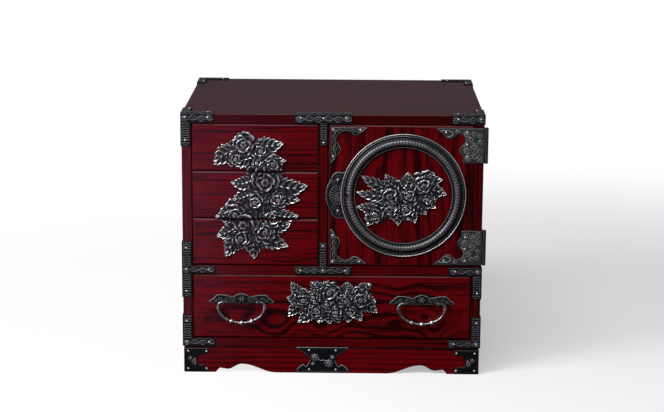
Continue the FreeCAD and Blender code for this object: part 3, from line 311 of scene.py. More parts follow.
class ChestColours(bpy.types.PropertyGroup):
    """Colours of the finishes."""

    lacquer_light: colour_property("Lacquer, light", "Between the dark grain", (0.112, 0.0006, 0.0024))
    lacquer_dark: colour_property("Lacquer, dark", "Red lacquer over the dark grain", (0.015, 0.0003, 0.0010))
    bare_wood: colour_property("Bare wood", "Planed wood inside the drawers", (0.50, 0.36, 0.21))
    # The colour of the painted highlight along the lacquer's bevels, strongest on the upper ones.
    lacquer_bevel_highlight: colour_property("Lacquer, arris", "Rubbed thin on the upper bevels", (0.10, 0.028, 0.032))
    iron: colour_property("Iron", "Burnt black sheet iron", (0.032, 0.033, 0.037))
    # The bright colour of worn ridges, also used as the painted highlight on the plates' upper rims and the ring's
    # rim lines.
    iron_bright_share: colour_property("Iron, worn", "Iron on worn ridges and edges", (0.55, 0.55, 0.57))
    iron_deep: colour_property("Iron, deep black", "Plates with the thickest black", (0.012, 0.013, 0.017))
    relief_dark: colour_property("Relief, hollows", "Patina in the hollows", (0.030, 0.032, 0.038))
    relief_light: colour_property("Relief, ridges", "Bright metal on the ridges", (0.62, 0.63, 0.65))
    floor: colour_property("Floor", "Pale floor", (0.90, 0.90, 0.92))


def sizes():
    return bpy.context.scene.chest_sizes


def colours():
    return bpy.context.scene.chest_colours


# Materials


class Socket:
    """A value in a material; arithmetic on it adds Math nodes."""

    def __init__(self, paint, link):
        self.paint = paint
        self.link = link

    def math(self, operation, *others):
        return self.paint.node("ShaderNodeMath", {"operation": operation}, [self, *others])

    def __add__(self, other):
        return self.math("ADD", other)

    def __radd__(self, other):
        return self.math("ADD", other)

    def __sub__(self, other):
        return self.math("SUBTRACT", other)

    def __rsub__(self, other):
        return self.paint.node("ShaderNodeMath", {"operation": "SUBTRACT"}, [other, self])

    def __mul__(self, other):
        return self.math("MULTIPLY", other)

    def __rmul__(self, other):
        return self.math("MULTIPLY", other)

    def __truediv__(self, other):
        return self.math("DIVIDE", other)

    def __pow__(self, other):
        return self.math("POWER", other)

    def between(self, low, high):
        """0 at low, 1 at high, eased and held beyond them."""
        return self.paint.node("ShaderNodeMapRange", {"interpolation_type": "SMOOTHSTEP"}, {
            "Value": self, "From Min": low, "From Max": high
        })


class Paint:
    """The nodes of one material or of the world."""

    def __init__(self, tree):
        self.tree = tree
        tree.nodes.clear()

    def node(self, kind, settings=None, inputs=(), output=0):
        """A node of this type, with its settings, then the values or links of its sockets."""
        made = self.tree.nodes.new(kind)
        for key, value in (settings or {}).items():
            setattr(made, key, value)
        pairs = inputs.items() if isinstance(inputs, dict) else enumerate(inputs)
        for key, value in pairs:
            if isinstance(value, Socket):
                self.tree.links.new(value.link, made.inputs[key])
            else:
                made.inputs[key].default_value = value
        return Socket(self, made.outputs[output])

    def mix(self, share, first, second):
        """A colour between two colours."""
        both = [c if isinstance(c, Socket) else (*c, 1.0) for c in (first, second)]
        return self.node("ShaderNodeMix", {"data_type": "RGBA"}, {0: share, 6: both[0], 7: both[1]}, 2)

    def place(self, scale=(1.0, 1.0, 1.0), turn=(0.0, 0.0, 0.0)):
        """Object coordinates through a Mapping node."""
        place = self.node("ShaderNodeTexCoord", output="Object")
        return self.node("ShaderNodeMapping", None, {0: place, 2: turn, 3: scale})

    def split(self, vector):
        """The three coordinates of a vector."""
        return [self.node("ShaderNodeSeparateXYZ", None, [vector], n) for n in range(3)]

    def noise(self, vector, scale, detail=2.0, roughness=0.5):
        return self.node("ShaderNodeTexNoise", None, {
            "Vector": vector, "Scale": scale, "Detail": detail, "Roughness": roughness
        })

    def bump(self, height, distance, strength):
        return self.node("ShaderNodeBump", None, {"Height": height, "Distance": distance, "Strength": strength})

    def surface(self, shader, kind="ShaderNodeOutputMaterial"):
        output = self.tree.nodes.new(kind)
        self.tree.links.new(shader.link, output.inputs[0])

    def principled(self, values):
        self.surface(self.node("ShaderNodeBsdfPrincipled", None, values))


def material(name):
    """A new material and its empty node tree."""
    made = bpy.data.materials.new(name)
    made.use_nodes = True
    return made, Paint(made.node_tree)


def shade(colour, share=1.0):
    """A colour's three values, each times the same share."""
    return tuple(share * value for value in colour)


GRAIN_TURNS = {"x": (0.0, 0.0, 0.0), "z": (0.0, math.pi / 2, 0.0), "y": (0.0, 0.0, math.pi / 2)}


def lacquer(name, along, ring, heart, sway, contrast, streaky, tone, seed, pace=1.0, crisp=2.2):
    """Transparent red lacquer over figured wood. The growth rings are circles round a heart line that runs with
    the grain; slow noise sways them, each ring has one dark line that comes and goes along the grain, and streaks
    and short pores follow the grain. along is the grain's axis, ring the spacing, heart the offset of the line
    across and behind, sway the slow and the quick bend, in mm; pace quickens the slow one and crisp narrows the
    dark lines. Bevels, found by the way they face, are painted a lighter colour, most on the upper ones: a painted
    highlight along the edges."""
    made, paint = material(name)
    c = colours()
    place = paint.place((MM, MM, MM), GRAIN_TURNS[along])
    grain, deep, across = paint.split(place)

    def cloud(along_scale, across_scale, shift, detail=2.0, roughness=0.5):
        place = [grain * along_scale + (seed + shift), deep * across_scale, across * across_scale]
        return paint.noise(paint.node("ShaderNodeCombineXYZ", None, place), 1.0, detail, roughness)

    bend = (cloud(0.0045 * pace, 0.011, 0.0, 2.5) - 0.5) * sway[0]
    wobble = (cloud(0.022, 0.05, 3.0) - 0.5) * sway[1]
    side = across + heart[0] + bend * 0.5
    back = deep * 0.3 + heart[1] + bend
    radius = (side * side + back * back) ** 0.5 + wobble
    turn = radius / ring
    wave = (turn * (2 * math.pi)).math("COSINE") * 0.5 + 0.5
    year = paint.noise(paint.node("ShaderNodeCombineXYZ", None, [turn * 0.8, grain * 0.004, seed]), 1.0, 1.0)
    fade = cloud(0.010, 0.03, 7.0)
    late = (wave ** crisp) * (year * 2.2 - 0.35).between(0.0, 1.3) * (0.25 + 1.5 * fade)
    streaks = cloud(0.010, 0.30, 11.0, 3.0, 0.6).between(0.44, 0.72)
    pores = cloud(0.09, 1.4, 13.0, 2.0, 0.6)
    patches = (cloud(0.006, 0.02, 17.0) - 0.5) * 0.6
    dark = late * contrast + streaks * streaky + pores.between(0.52, 0.70) * 0.12 + patches
    dark = dark.between(-0.15, 0.95)
    colour = paint.mix(dark, shade(c.lacquer_light, tone), shade(c.lacquer_dark, tone))
    _, outward, upward = paint.split(paint.node("ShaderNodeTexCoord", output="Normal"))
    # Painted highlight: bevels, found from the normal, take a lighter colour, most where they face up.
    sloped = (outward * -1.0).between(0.35, 0.6) * (1.0 - (outward * -1.0).between(0.85, 0.97))
    bevel_highlight = sloped * (0.3 + 0.7 * upward.between(0.3, 0.6))
    colour = paint.mix(bevel_highlight, colour, shade(c.lacquer_bevel_highlight))
    height = paint.bump(pores + late * 0.5, 0.00004, 0.25)
    paint.principled({
        "Base Color": colour, "Roughness": 0.45, "Specular IOR Level": 0.05, "Coat Weight": 0.7,
        "Coat Roughness": 0.12, "Coat IOR": 1.42, "Normal": height,
    })
    return made


def bare_wood(name, along):
    """Planed straw-coloured wood with fine straight grain along this axis."""
    made, paint = material(name)
    c = colours()
    place = paint.place((MM * 0.004, MM * 0.05, MM * 0.05), GRAIN_TURNS[along])
    rays = paint.noise(place, 4.0, 3.0, 0.6)
    lines = paint.noise(place, 14.0, 2.0, 0.6)
    dark = rays.between(0.3, 0.75) * 0.6 + lines.between(0.4, 0.7) * 0.4
    colour = paint.mix(dark, shade(c.bare_wood), shade(c.bare_wood, 0.6))
    paint.principled({
        "Base Color": colour, "Roughness": 0.62, "Specular IOR Level": 0.3,
        "Normal": paint.bump(lines, 0.0001, 0.3),
    })
    return made


def worked_metal(name, dark, light, rough, ridge_gain, grain, metal, shine=0.35):
    """Dark metal whose ridges are brighter: worn bright on the reliefs, and a painted highlight on the plates'
    upper rims and the ring's rim lines. The piece's chase attribute is 0 on flats, positive on ridges and negative
    in hollows; speckle breaks the brightening up."""
    made, paint = material(name)
    chase = paint.node("ShaderNodeAttribute", {"attribute_name": "chase"}, output="Fac")
    place = paint.place((MM, MM, MM))
    speckle = paint.noise(place, 0.9, 3.0, 0.65)
    patch = paint.noise(place, 0.06, 2.0, 0.5)
    bright_share = (chase * ridge_gain + (speckle - 0.5) * grain + (patch - 0.5) * 0.25 - 0.07).between(0.0, 1.0)
    # Hollows are darker still: patina in the reliefs' hollows, and painted shade in the ring's flange band and
    # keyhole.
    hollow = (chase * -1.0).between(0.02, 0.6)
    colour = paint.mix(hollow, paint.mix(bright_share, dark, light), shade(dark, 0.3))
    roughness = rough[0] + (rough[1] - rough[0]) * bright_share + (speckle - 0.5) * 0.12
    paint.principled({
        "Base Color": colour, "Metallic": metal - hollow * metal * 0.6, "Roughness": roughness,
        "Specular IOR Level": shine, "Normal": paint.bump(speckle, 0.00012, 0.35),
    })
    return made


FINISHES = {}


def finish(name):
    """The finish of this name, made once."""
    if name not in FINISHES:
        c = colours()
        iron, bright_share, deep = c.iron, c.iron_bright_share, c.iron_deep
        hollows, ridges = shade(c.relief_dark), shade(c.relief_light)
        metals = {
            "iron": ("black_iron", shade(iron), shade(bright_share), (0.5, 0.34), 0.9, 0.3, 0.3),
            "bracket": ("bracket_iron", shade(deep, 0.7), shade(bright_share, 0.75), (0.5, 0.32), 0.9, 0.35, 0.2, 0.12),
            "deep": ("deep_iron", shade(deep, 0.5), shade(bright_share), (0.5, 0.34), 0.8, 0.3, 0.1, 0.1),
            "ring": ("ring_iron", shade(iron), shade(bright_share), (0.44, 0.33), 0.9, 0.3, 0.7),
            "relief": ("relief_iron", hollows, ridges, (0.40, 0.26), 1.2, 0.4, 0.75),
            "nail": ("nail_iron", (0.55, 0.55, 0.57), (0.8, 0.8, 0.81), (0.34, 0.26), 1.0, 0.6, 0.25),
            "bail": ("bail_iron", (0.08, 0.08, 0.09), (0.55, 0.55, 0.55), (0.33, 0.24), 1.0, 0.3, 0.9),
        }
        woods = {
            "bare": ("bare_wood", "y"), "bare_across": ("bare_wood_across", "x"),
            "bare_upright": ("bare_wood_upright", "z"),
        }
        FINISHES[name] = worked_metal(*metals[name]) if name in metals else bare_wood(*woods[name])
    return FINISHES[name]


def dress(node, paint):
    """Gives a carried-over node this material."""
    piece = frame["nodes"][node]
    if not piece.material_slots:
        piece.data.materials.append(None)
    for slot in piece.material_slots:
        slot.material = paint


# Meshes


def new_piece(name, points, quads, body, slot, paint, chase, sharp, replaces=()):
    """A piece from points in mm and quads as rows of four indices, with its chase values and the angle in degrees
    from which an edge is sharp. It rides on a body and may replace nodes. The slot is not used."""
    mesh = bpy.data.meshes.new(name)
    place = points / MM + CORNER
    mesh.vertices.add(len(place))
    mesh.vertices.foreach_set("co", place.astype(np.float32).ravel())
    mesh.loops.add(quads.size)
    mesh.loops.foreach_set("vertex_index", quads.astype(np.int32).ravel())
    mesh.polygons.add(len(quads))
    mesh.polygons.foreach_set("loop_start", np.arange(0, quads.size, 4, dtype=np.int32))
    mesh.update(calc_edges=True)
    mesh.validate()
    layer = mesh.attributes.new("chase", "FLOAT", "POINT")
    layer.data.foreach_set("value", chase.astype(np.float32))
    mesh.shade_smooth()
    mesh.set_sharp_from_angle(angle=math.radians(sharp))
    mesh.materials.append(paint)
    piece = bpy.data.objects.new(name, mesh)
    bpy.context.scene.collection.objects.link(piece)
    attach(piece, body)
    if replaces:
        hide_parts(*replaces)


def joined(parts):
    """Several (points, quads, chase) as one."""
    starts = np.cumsum([0] + [len(p) for p, _, _ in parts[:-1]])
    points = np.concatenate([p for p, _, _ in parts])
    quads = np.concatenate([q + s for (_, q, _), s in zip(parts, starts)])
    chase = np.concatenate([c for _, _, c in parts])
    return points, quads, chase


def iron_piece(name, parts, body, paint, replaces=()):
    """Chased parts as one piece of iron, in the finish of this name."""
    points, quads, chase = joined(parts)
    new_piece(name, points, quads, body, "black_iron", finish(paint), chase, 50, replaces)


def tube(rings, chase):
    """A closed surface through rings of points, an array of (rings, points round, 3); each end ring is closed
    by quads between its two halves."""
    count, around, _ = rings.shape
    index = np.arange(count * around).reshape(count, around)
    wrap = np.roll(index, -1, 1)
    sides = np.stack([index[:-1], wrap[:-1], wrap[1:], index[1:]], -1).reshape(-1, 4)
    k = np.arange(around // 2 - 1)
    first, last = [
        np.stack([end[k], end[k + 1], end[around - 2 - k], end[around - 1 - k]], -1) for end in index[[0, -1]]
    ]
    quads = np.concatenate([sides, first[:, ::-1], last])
    return rings.reshape(-1, 3), quads, chase.ravel()


def softly(values, passes):
    """The values blurred by averaging neighbours, this many times."""
    for _ in range(passes):
        pad = np.pad(values, 1, mode="edge")
        values = (pad[:-2, 1:-1] + pad[2:, 1:-1] + pad[1:-1, :-2] + pad[1:-1, 2:] + 2 * values) / 6
    return values


def chased(u, v, inside, height, at, u_axis, v_axis, step, relief=0.3, reach=12):
    """A closed plate as a height over a plane: height(u, v) where inside(u, v) > 0, with walls down to the
    plane and a flat back. Grid points within three quarters of a step of the outline are moved onto it along
    the gradient of inside. chase is how far each point stands above its neighbourhood, relief mm counting as
    1."""
    grad_v, grad_u = np.gradient(inside, step)
    slope = np.maximum(np.hypot(grad_u, grad_v), 0.25)
    gap = inside / slope
    close = np.abs(gap) < 0.75 * step
    u = np.where(close, u - gap * grad_u / slope, u)
    v = np.where(close, v - gap * grad_v / slope, v)
    kept = gap > -0.75 * step
    cells = kept[:-1, :-1] & kept[1:, :-1] & kept[:-1, 1:] & kept[1:, 1:]
    cells &= (gap[:-1, :-1] + gap[1:, :-1] + gap[:-1, 1:] + gap[1:, 1:]) > 0
    chase = np.clip((height - softly(height, reach)) / relief, -1, 1)
    index = np.arange(u.size).reshape(u.shape)
    a, b, c, d = index[:-1, :-1], index[:-1, 1:], index[1:, 1:], index[1:, :-1]
    top = np.stack([a, b, c, d], -1)[cells]
    low = u.size
    walls = [top, top[:, ::-1] + low]
    pad = np.pad(cells, 1)
    below, above = pad[:-1, 1:-1], pad[1:, 1:-1]
    left, right = pad[1:-1, :-1], pad[1:-1, 1:]
    along_u, along_v = (index[:, :-1], index[:, 1:]), (index[:-1, :], index[1:, :])
    for (start, end), rim, flip in (
        (along_u, above & ~below, False), (along_u, below & ~above, True),
        (along_v, right & ~left, True), (along_v, left & ~right, False),
    ):
        s, e = start[rim], end[rim]
        wall = np.stack([s + low, e + low, e, s], -1)
        walls.append(wall[:, ::-1] if flip else wall)
    quads = np.concatenate(walls)
    normal = np.cross(u_axis, v_axis)
    flat = np.asarray(at) + u[..., None] * u_axis + v[..., None] * v_axis
    points = np.concatenate([(flat + height[..., None] * normal).reshape(-1, 3), flat.reshape(-1, 3)])
    used, quads = np.unique(quads, return_inverse=True)
    values = np.concatenate([chase.ravel(), chase.ravel()])
    return points[used], quads.reshape(-1, 4), values[used]


def grid(low, high, step):
    """Rows and columns of points over a rectangle and one step round it."""
    u = np.arange(low[0] - step, high[0] + 2 * step, step)
    v = np.arange(low[1] - step, high[1] + 2 * step, step)
    return np.meshgrid(u, v)


def outline_gap(u, v, corners):
    """Distance from each point to a closed outline, positive inside: the nearest edge, signed by
    crossings."""
    start = np.asarray(corners, float)
    along = np.roll(start, -1, 0) - start
    x, y = u[..., None] - start[:, 0], v[..., None] - start[:, 1]
    ex, ey = along.T
    t = np.clip((x * ex + y * ey) / (ex * ex + ey * ey), 0, 1)
    gap = np.hypot(x - t * ex, y - t * ey).min(-1)
    over = (y < 0) != (y < ey)
    crossed = over & (x < ex * y / np.where(ey == 0, 1, ey))
    return np.where(crossed.sum(-1) % 2 == 1, gap, -gap)


def softened(corners, reach):
    """The outline with each corner cut back along both its edges by at most reach, twice over."""
    points = np.asarray(corners, float)
    for _ in range(2):
        along = np.roll(points, -1, 0) - points
        length = np.hypot(*along.T)[:, None]
        cut = np.minimum(length / 4, reach)
        first = points + along / length * cut
        last = points + along / length * (length - cut)
        points = np.stack([first, last], 1).reshape(-1, 2)
    return points


def mirrored(right, middle):
    """The right half of an outline followed by its mirror image on the left of the middle line."""
    return right + [(2 * middle - x, z) for x, z in reversed(right) if x > middle]


def box_gap(u, v, strip):
    """Distance from each point to a rectangle's outline, positive inside."""
    (u0, v0), (u1, v1) = strip
    return np.minimum(np.minimum(u - u0, u1 - u), np.minimum(v - v0, v1 - v))


def arc(first, through, last, count):
    """Points of the circular arc from first through a point to last; the centre is as far from all three."""
    a, b, c = [complex(*p) for p in (first, through, last)]
    w = (c - a) / (b - a)
    centre = a + (b - a) * (w - abs(w) ** 2) / (2j * w.imag)
    swing = np.angle((c - centre) / (b - centre)) + np.angle((b - centre) / (a - centre))
    points = centre + (a - centre) * np.exp(1j * swing * np.linspace(0, 1, count))
    return np.stack([points.real, points.imag], -1)


# Chased ornament


def line_height(gap, width):
    """A raised line: 1 on the line, falling off as a bell over its width."""
    return np.exp(-((gap / width) ** 2))


def spiral_gap(u, v, x, z, start_r, phase, hand):
    """Distance to a spiral that winds in from start_r: on each turn its radius is that of the turn outside it
    times the same share."""
    radius = np.hypot(u - x, v - z) + 1e-6
    angle = (hand * (np.arctan2(v - z, u - x) - phase)) % (2 * np.pi)
    tighten = 0.115
    gaps = [np.abs(radius - start_r * np.exp(-tighten * (angle + 2 * np.pi * k))) for k in range(3)]
    return np.minimum.reduce(gaps)


def vine(u, v, length, width):
    """Scrolls on a strip that runs along u from 0 to length: a waving stem, and a spiral with leaf ticks in
    each bend."""
    turns = max(2, int(round(length / (width * 0.95))))
    pitch = length / turns
    sweep = width * 0.22
    stem = v - sweep * np.sin(np.pi * u / pitch)
    high = line_height(stem, 0.6)
    for k in range(turns):
        x = (k + 0.5) * pitch
        side = -1 if k % 2 else 1
        centre = -side * sweep * 0.6
        near = np.hypot(u - x, v - centre)
        coil = spiral_gap(u, v, x, centre, width * 0.30, np.pi / 2 * side, side)
        angle = np.arctan2(v - centre, u - x)
        teeth = line_height(np.abs(near - width * 0.37) + 1.1 * np.abs(np.sin(angle * 3)), 0.9)
        high = np.maximum(high, line_height(coil, 0.65) * (near < width * 0.32))
        high = np.maximum(high, 0.9 * teeth)
    return high


def crescents(u, v, width):
    """Crescent strokes across a strip that runs along u: groups of four lean one way, the next four the
    other."""
    pitch = 3.7
    lean = np.sign(np.cos(np.pi * u / (4 * pitch)))
    bowed = u / pitch + 0.55 * lean * (2 * v / width) ** 2
    stroke = 0.7 * line_height((bowed % 1 - 0.5) * pitch, 0.7)
    return stroke * np.clip((width * 0.42 - np.abs(v)) / 0.8, 0, 1)


def scroll_field(u, v, spots):
    """Scrolls over a plate: spirals at (x, z, radius, phase, hand), each with ticks like the teeth of a
    leaf."""
    high = np.zeros_like(u)
    for x, z, r, phase, hand in spots:
        near = np.hypot(u - x, v - z)
        coil = line_height(spiral_gap(u, v, x, z, r, phase, hand), 0.75) * (near < r * 1.04)
        angle = np.arctan2(v - z, u - x)
        teeth = 0.8 * line_height(np.abs(near - r * 1.2) + 1.0 * np.abs(np.sin(angle * 4)), 0.9)
        high = np.maximum(high, np.maximum(coil, teeth))
    return high


def plate_height(gap, pattern, look):
    """Height of a sheet-iron plate: flat, eased down at its edge, with a raised line along each rim distance and
    the pattern inside the innermost of them. The line has the look's share of its height, and more along upper
    edges, where it then stands out and the chase attribute paints it brighter: a painted highlight along the upper
    rims."""
    base, strength, rims, round_edge, rim_share = look
    s = sizes()
    high = base - round_edge * np.exp(-np.maximum(gap, 0) / 0.3)
    # Painted highlight: along upper edges the rim rises more, so the chase attribute paints it brighter.
    upper = np.clip(-np.gradient(gap, axis=0) / 0.4, 0, 1)
    for rim in rims:
        high = high + (rim_share + 0.7 * upper) * s.rim_height * MM * line_height(gap - rim, 0.55)
    room = np.clip((gap - rims[-1] - 0.5) / 0.5, 0, 1)
    return np.maximum(high + s.scroll_height * MM * room * (strength * pattern), 0.02)


def nail_tops(node, axis, level):
    """Where the heads of a node's nails have their tops at this level of an axis, as rows of the other
    two."""
    points = np.array([v.co for v in frame["nodes"][node].data.vertices], float)
    points = (points - CORNER) * MM
    tops = points[np.abs(points[:, axis] - level) < 0.03]
    return np.unique(np.round(np.delete(tops, axis, 1), 1), axis=0)


def clear_of(u, v, tops):
    """0 on the nails and 1 away from them."""
    if not len(tops):
        return np.ones_like(u)
    near = np.min([np.hypot(u - a, v - b) for a, b in tops], 0)
    return np.clip((near - 2.0) / 0.6, 0, 1)


def chased_plate(outline, inset, draw, tops, look, at_y, step):
    """A plate within an outline on a plane that faces the front; draw gives the pattern, kept clear of
    nails."""
    u, v = grid(outline.min(0), outline.max(0), step)
    gap = outline_gap(u, v, outline) - inset
    height = plate_height(gap, draw(u, v) * clear_of(u, v, tops), look)
    return chased(u, v, gap, height, (0, at_y, 0), X, Z, step)


# Peonies and leaves


def petal(u, v, x, z, turn, long, wide, base, lift, phase):
    """One petal. a runs along it from -1 at the root to 1 at the lip and b across it; q is their length over
    a ruffled edge. The height climbs from base at the root towards the lip, dips in the middle and is
    gathered in folds that fan out from the root. The lip is a roll that swells and thins along the edge, then
    turns down."""
    c, s = math.cos(turn), math.sin(turn)
    a = ((u - x) * c + (v - z) * s) / long
    b = ((v - z) * c - (u - x) * s) / wide
    angle = np.arctan2(b, a)
    edge = 1 + 0.09 * np.cos(3 * angle + phase) + 0.05 * np.cos(7 * angle - 2 * phase)
    q = np.hypot(a, b) / edge
    folds = np.cos(np.arctan2(b * wide, (a + 1.5) * long) * 10 + 2 * phase)
    roll = line_height(q - 0.76, 0.21) * (0.55 + 0.45 * np.cos(2 * angle + 1.7 * phase))
    height = base + lift * (0.10 + 0.65 * np.clip((a + 1) / 2, 0, 1))
    height = height - 0.35 * lift * line_height(q - 0.30, 0.30)
    height = height + 0.17 * lift * folds * np.clip(q * 1.3, 0, 1) + 0.50 * lift * roll
    height = height - 0.90 * lift * np.clip((q - 0.84) / 0.16, 0, 1) ** 2
    return (1 - q) * min(long, wide), height


def leaf(u, v, start, tip, wide, bend, base, rise, phase):
    """One leaf. a runs from 0 at the start to 1 at the tip and b is the distance from its bent midrib. The
    half width follows a^0.5 (1 - a) and is toothed; the height is a roof over the midrib, with side veins
    that slant to the tip, a raised edge and one half tilted up."""
    du, dv = tip[0] - start[0], tip[1] - start[1]
    length = math.hypot(du, dv)
    a = ((u - start[0]) * du + (v - start[1]) * dv) / length ** 2
    held = np.clip(a, 1e-4, 1 - 1e-4)
    b = ((v - start[1]) * du - (u - start[0]) * dv) / length - bend * wide * np.sin(np.pi * held)
    tooth = (held * 5.5 + phase) % 1
    half = wide * 2.6 * held ** 0.5 * (1 - held) * (0.84 + 0.34 * tooth)
    inside = np.minimum(np.minimum(half - np.abs(b), a * length), (1 - a) * length)
    q = np.clip(np.abs(b) / np.maximum(half, 0.1), 0, 1)
    height = base + rise * (0.95 - 0.55 * q) + 0.25 * rise * np.sign(bend) * b / wide
    height = height + 0.20 * rise * np.cos(2 * np.pi * (5 * held - 0.9 * q)) * (1 - q ** 4)
    height = height + 0.40 * rise * line_height(b, 0.7) * (1 - held)
    height = height + 0.45 * rise * line_height(half - np.abs(b) - 0.7, 0.6)
    return inside, height


def knob(u, v, radius, top):
    """One grain of a peony's heart: a low dome on a post, as distance inside its edge and height."""
    dome = np.sqrt(np.clip(1 - (u ** 2 + v ** 2) / radius ** 2, 0, 1))
    return radius - np.hypot(u, v), top * 0.90 + 0.09 * top * dome


def window(u, v, x, z, reach):
    """The part of the grid within reach of a place, as two slices."""
    columns = np.flatnonzero(np.abs(u[0] - x) <= reach)
    rows = np.flatnonzero(np.abs(v[:, 0] - z) <= reach)
    if not len(columns) or not len(rows):
        return None
    return slice(rows[0], rows[-1] + 1), slice(columns[0], columns[-1] + 1)


def relief_field(u, v, frame_box, flowers, leaves, seed):
    """The union of all leaves, peonies and their hearts: at each point the piece that stands highest."""
    cx, cz, width, height = frame_box
    top = sizes().relief_height * MM
    rng = np.random.default_rng(seed)
    inside = np.full(u.shape, -9.0)
    high = np.full(u.shape, 0.3)

    def lay(reach, x, z, field):
        part = window(u, v, x, z, reach)
        if part is None:
            return
        gap, rise = field(u[part], v[part])
        inside[part] = np.maximum(inside[part], gap)
        high[part] = np.where(gap > 0, np.maximum(high[part], rise), high[part])

    for x0, z0, x1, z1, wide in leaves:
        start = (cx + x0 * width / 2, cz + z0 * height / 2)
        tip = (cx + x1 * width / 2, cz + z1 * height / 2)
        bend = rng.choice([-1, 1]) * rng.uniform(0.12, 0.4)
        base = top * rng.uniform(0.10, 0.26)
        phase = rng.uniform(0, 1)
        length = math.hypot(tip[0] - start[0], tip[1] - start[1])
        lay(length, (start[0] + tip[0]) / 2, (start[1] + tip[1]) / 2, lambda a, b: leaf(
            a, b, start, tip, wide * width / 2, bend, base, top * 0.36, phase
        ))
    for x0, z0, r0 in flowers:
        x, z, r = cx + x0 * width / 2, cz + z0 * height / 2, r0 * width / 2
        lean = rng.uniform(0, 2 * np.pi)
        turn0 = rng.uniform(0, 2 * np.pi)
        for n, (reach, size, count, root) in enumerate(PETAL_TIERS):
            shift = 0.16 * r * n / len(PETAL_TIERS)
            mx, mz = x + shift * math.cos(lean), z + shift * math.sin(lean)
            for k in range(count):
                turn = turn0 + n * 0.7 + 2 * np.pi * (k + rng.uniform(-0.25, 0.25)) / count
                long = size * r * rng.uniform(0.75, 1.15)
                wide = size * r * rng.uniform(0.85, 1.3)
                out = reach * r * rng.uniform(0.9, 1.0) - long
                px, pz = mx + out * math.cos(turn), mz + out * math.sin(turn)
                base = top * (root + rng.uniform(-0.10, 0.12))
                phase = rng.uniform(0, 2 * np.pi)
                tilt = turn + rng.uniform(-0.9, 0.9)
                lay(1.7 * max(long, wide), px, pz, lambda a, b: petal(
                    a, b, px, pz, tilt, long, wide, base, top * 0.34, phase
                ))
        heart = 0.08 * r
        hx, hz = x + 0.16 * r * math.cos(lean), z + 0.16 * r * math.sin(lean)
        for k in range(7):
            ring = 0.0 if k == 0 else heart * 1.5
            bx, bz = hx + ring * math.cos(k * np.pi / 3), hz + ring * math.sin(k * np.pi / 3)
            lay(heart * 1.2, bx, bz, lambda a, b: knob(a - bx, b - bz, heart, top))
    return inside, np.clip(high, 0.3, top)


def relief_piece(name, body, frame_box, flowers, leaves, seed, low=-1e9, high=1e9, back=0.0):
    """A relief, or its stretch between two levels, as one piece that replaces the node of the same name."""
    step = sizes().cell * MM
    cx, cz, width, tall = frame_box
    z0, z1 = max(cz - tall / 2 - 2, low), min(cz + tall / 2 + 2, high)
    u, v = grid((cx - width / 2 - 2, z0), (cx + width / 2 + 2, z1), step)
    inside, rise = relief_field(u, v, frame_box, flowers, leaves, seed)
    inside = np.minimum(inside, np.minimum(v - z0, z1 - v))
    parts = chased(u, v, inside, rise, (0, back, 0), X, Z, step, 1.3, 60)
    new_piece(f"{name}.chased", *parts[:2], body, "relief_metal", finish("relief"), parts[2], 38, (name,))


# Operators


class CHEST_OT_wood(bpy.types.Operator):
    """Lacquer the outside of the chest and leave the drawers' insides bare."""

    bl_idname = "chest.wood"
    bl_label = "Wood"

    def execute(self, context):
        for node in frame["nodes"]:
            if node.endswith(("_drawer_sides", "_drawer_bottom")) or node == "drawer_runners":
                dress(node, finish("bare"))
            elif node.endswith("_drawer_back"):
                dress(node, finish("bare_across"))
        dress("back_panel", finish("bare_upright"))
        paints = {node: lacquer(*board) for node, board in BOARDS.items()}
        for node, paint in paints.items():
            dress(node, paint)
        for node in ("base_rear_board", "base_left_board", "base_right_board"):
            dress(node, paints["base_front_board"])
        return {"FINISHED"}


class CHEST_OT_iron(bpy.types.Operator):
    """Blacken the sheet iron, hinges, lock and posts, and brighten the nail heads."""

    bl_idname = "chest.iron"
    bl_label = "Iron"

    def execute(self, context):
        for entry in frame["record"]["subparts"]:
            node, slot = entry["node"], entry["material_slot"]
            if slot == "black_iron":
                paint = "deep" if node.startswith("base_") else "bracket" if "bracket" in node else "iron"
                dress(node, finish(paint))
            elif slot == "nail_heads":
                dress(node, finish("nail"))
        return {"FINISHED"}


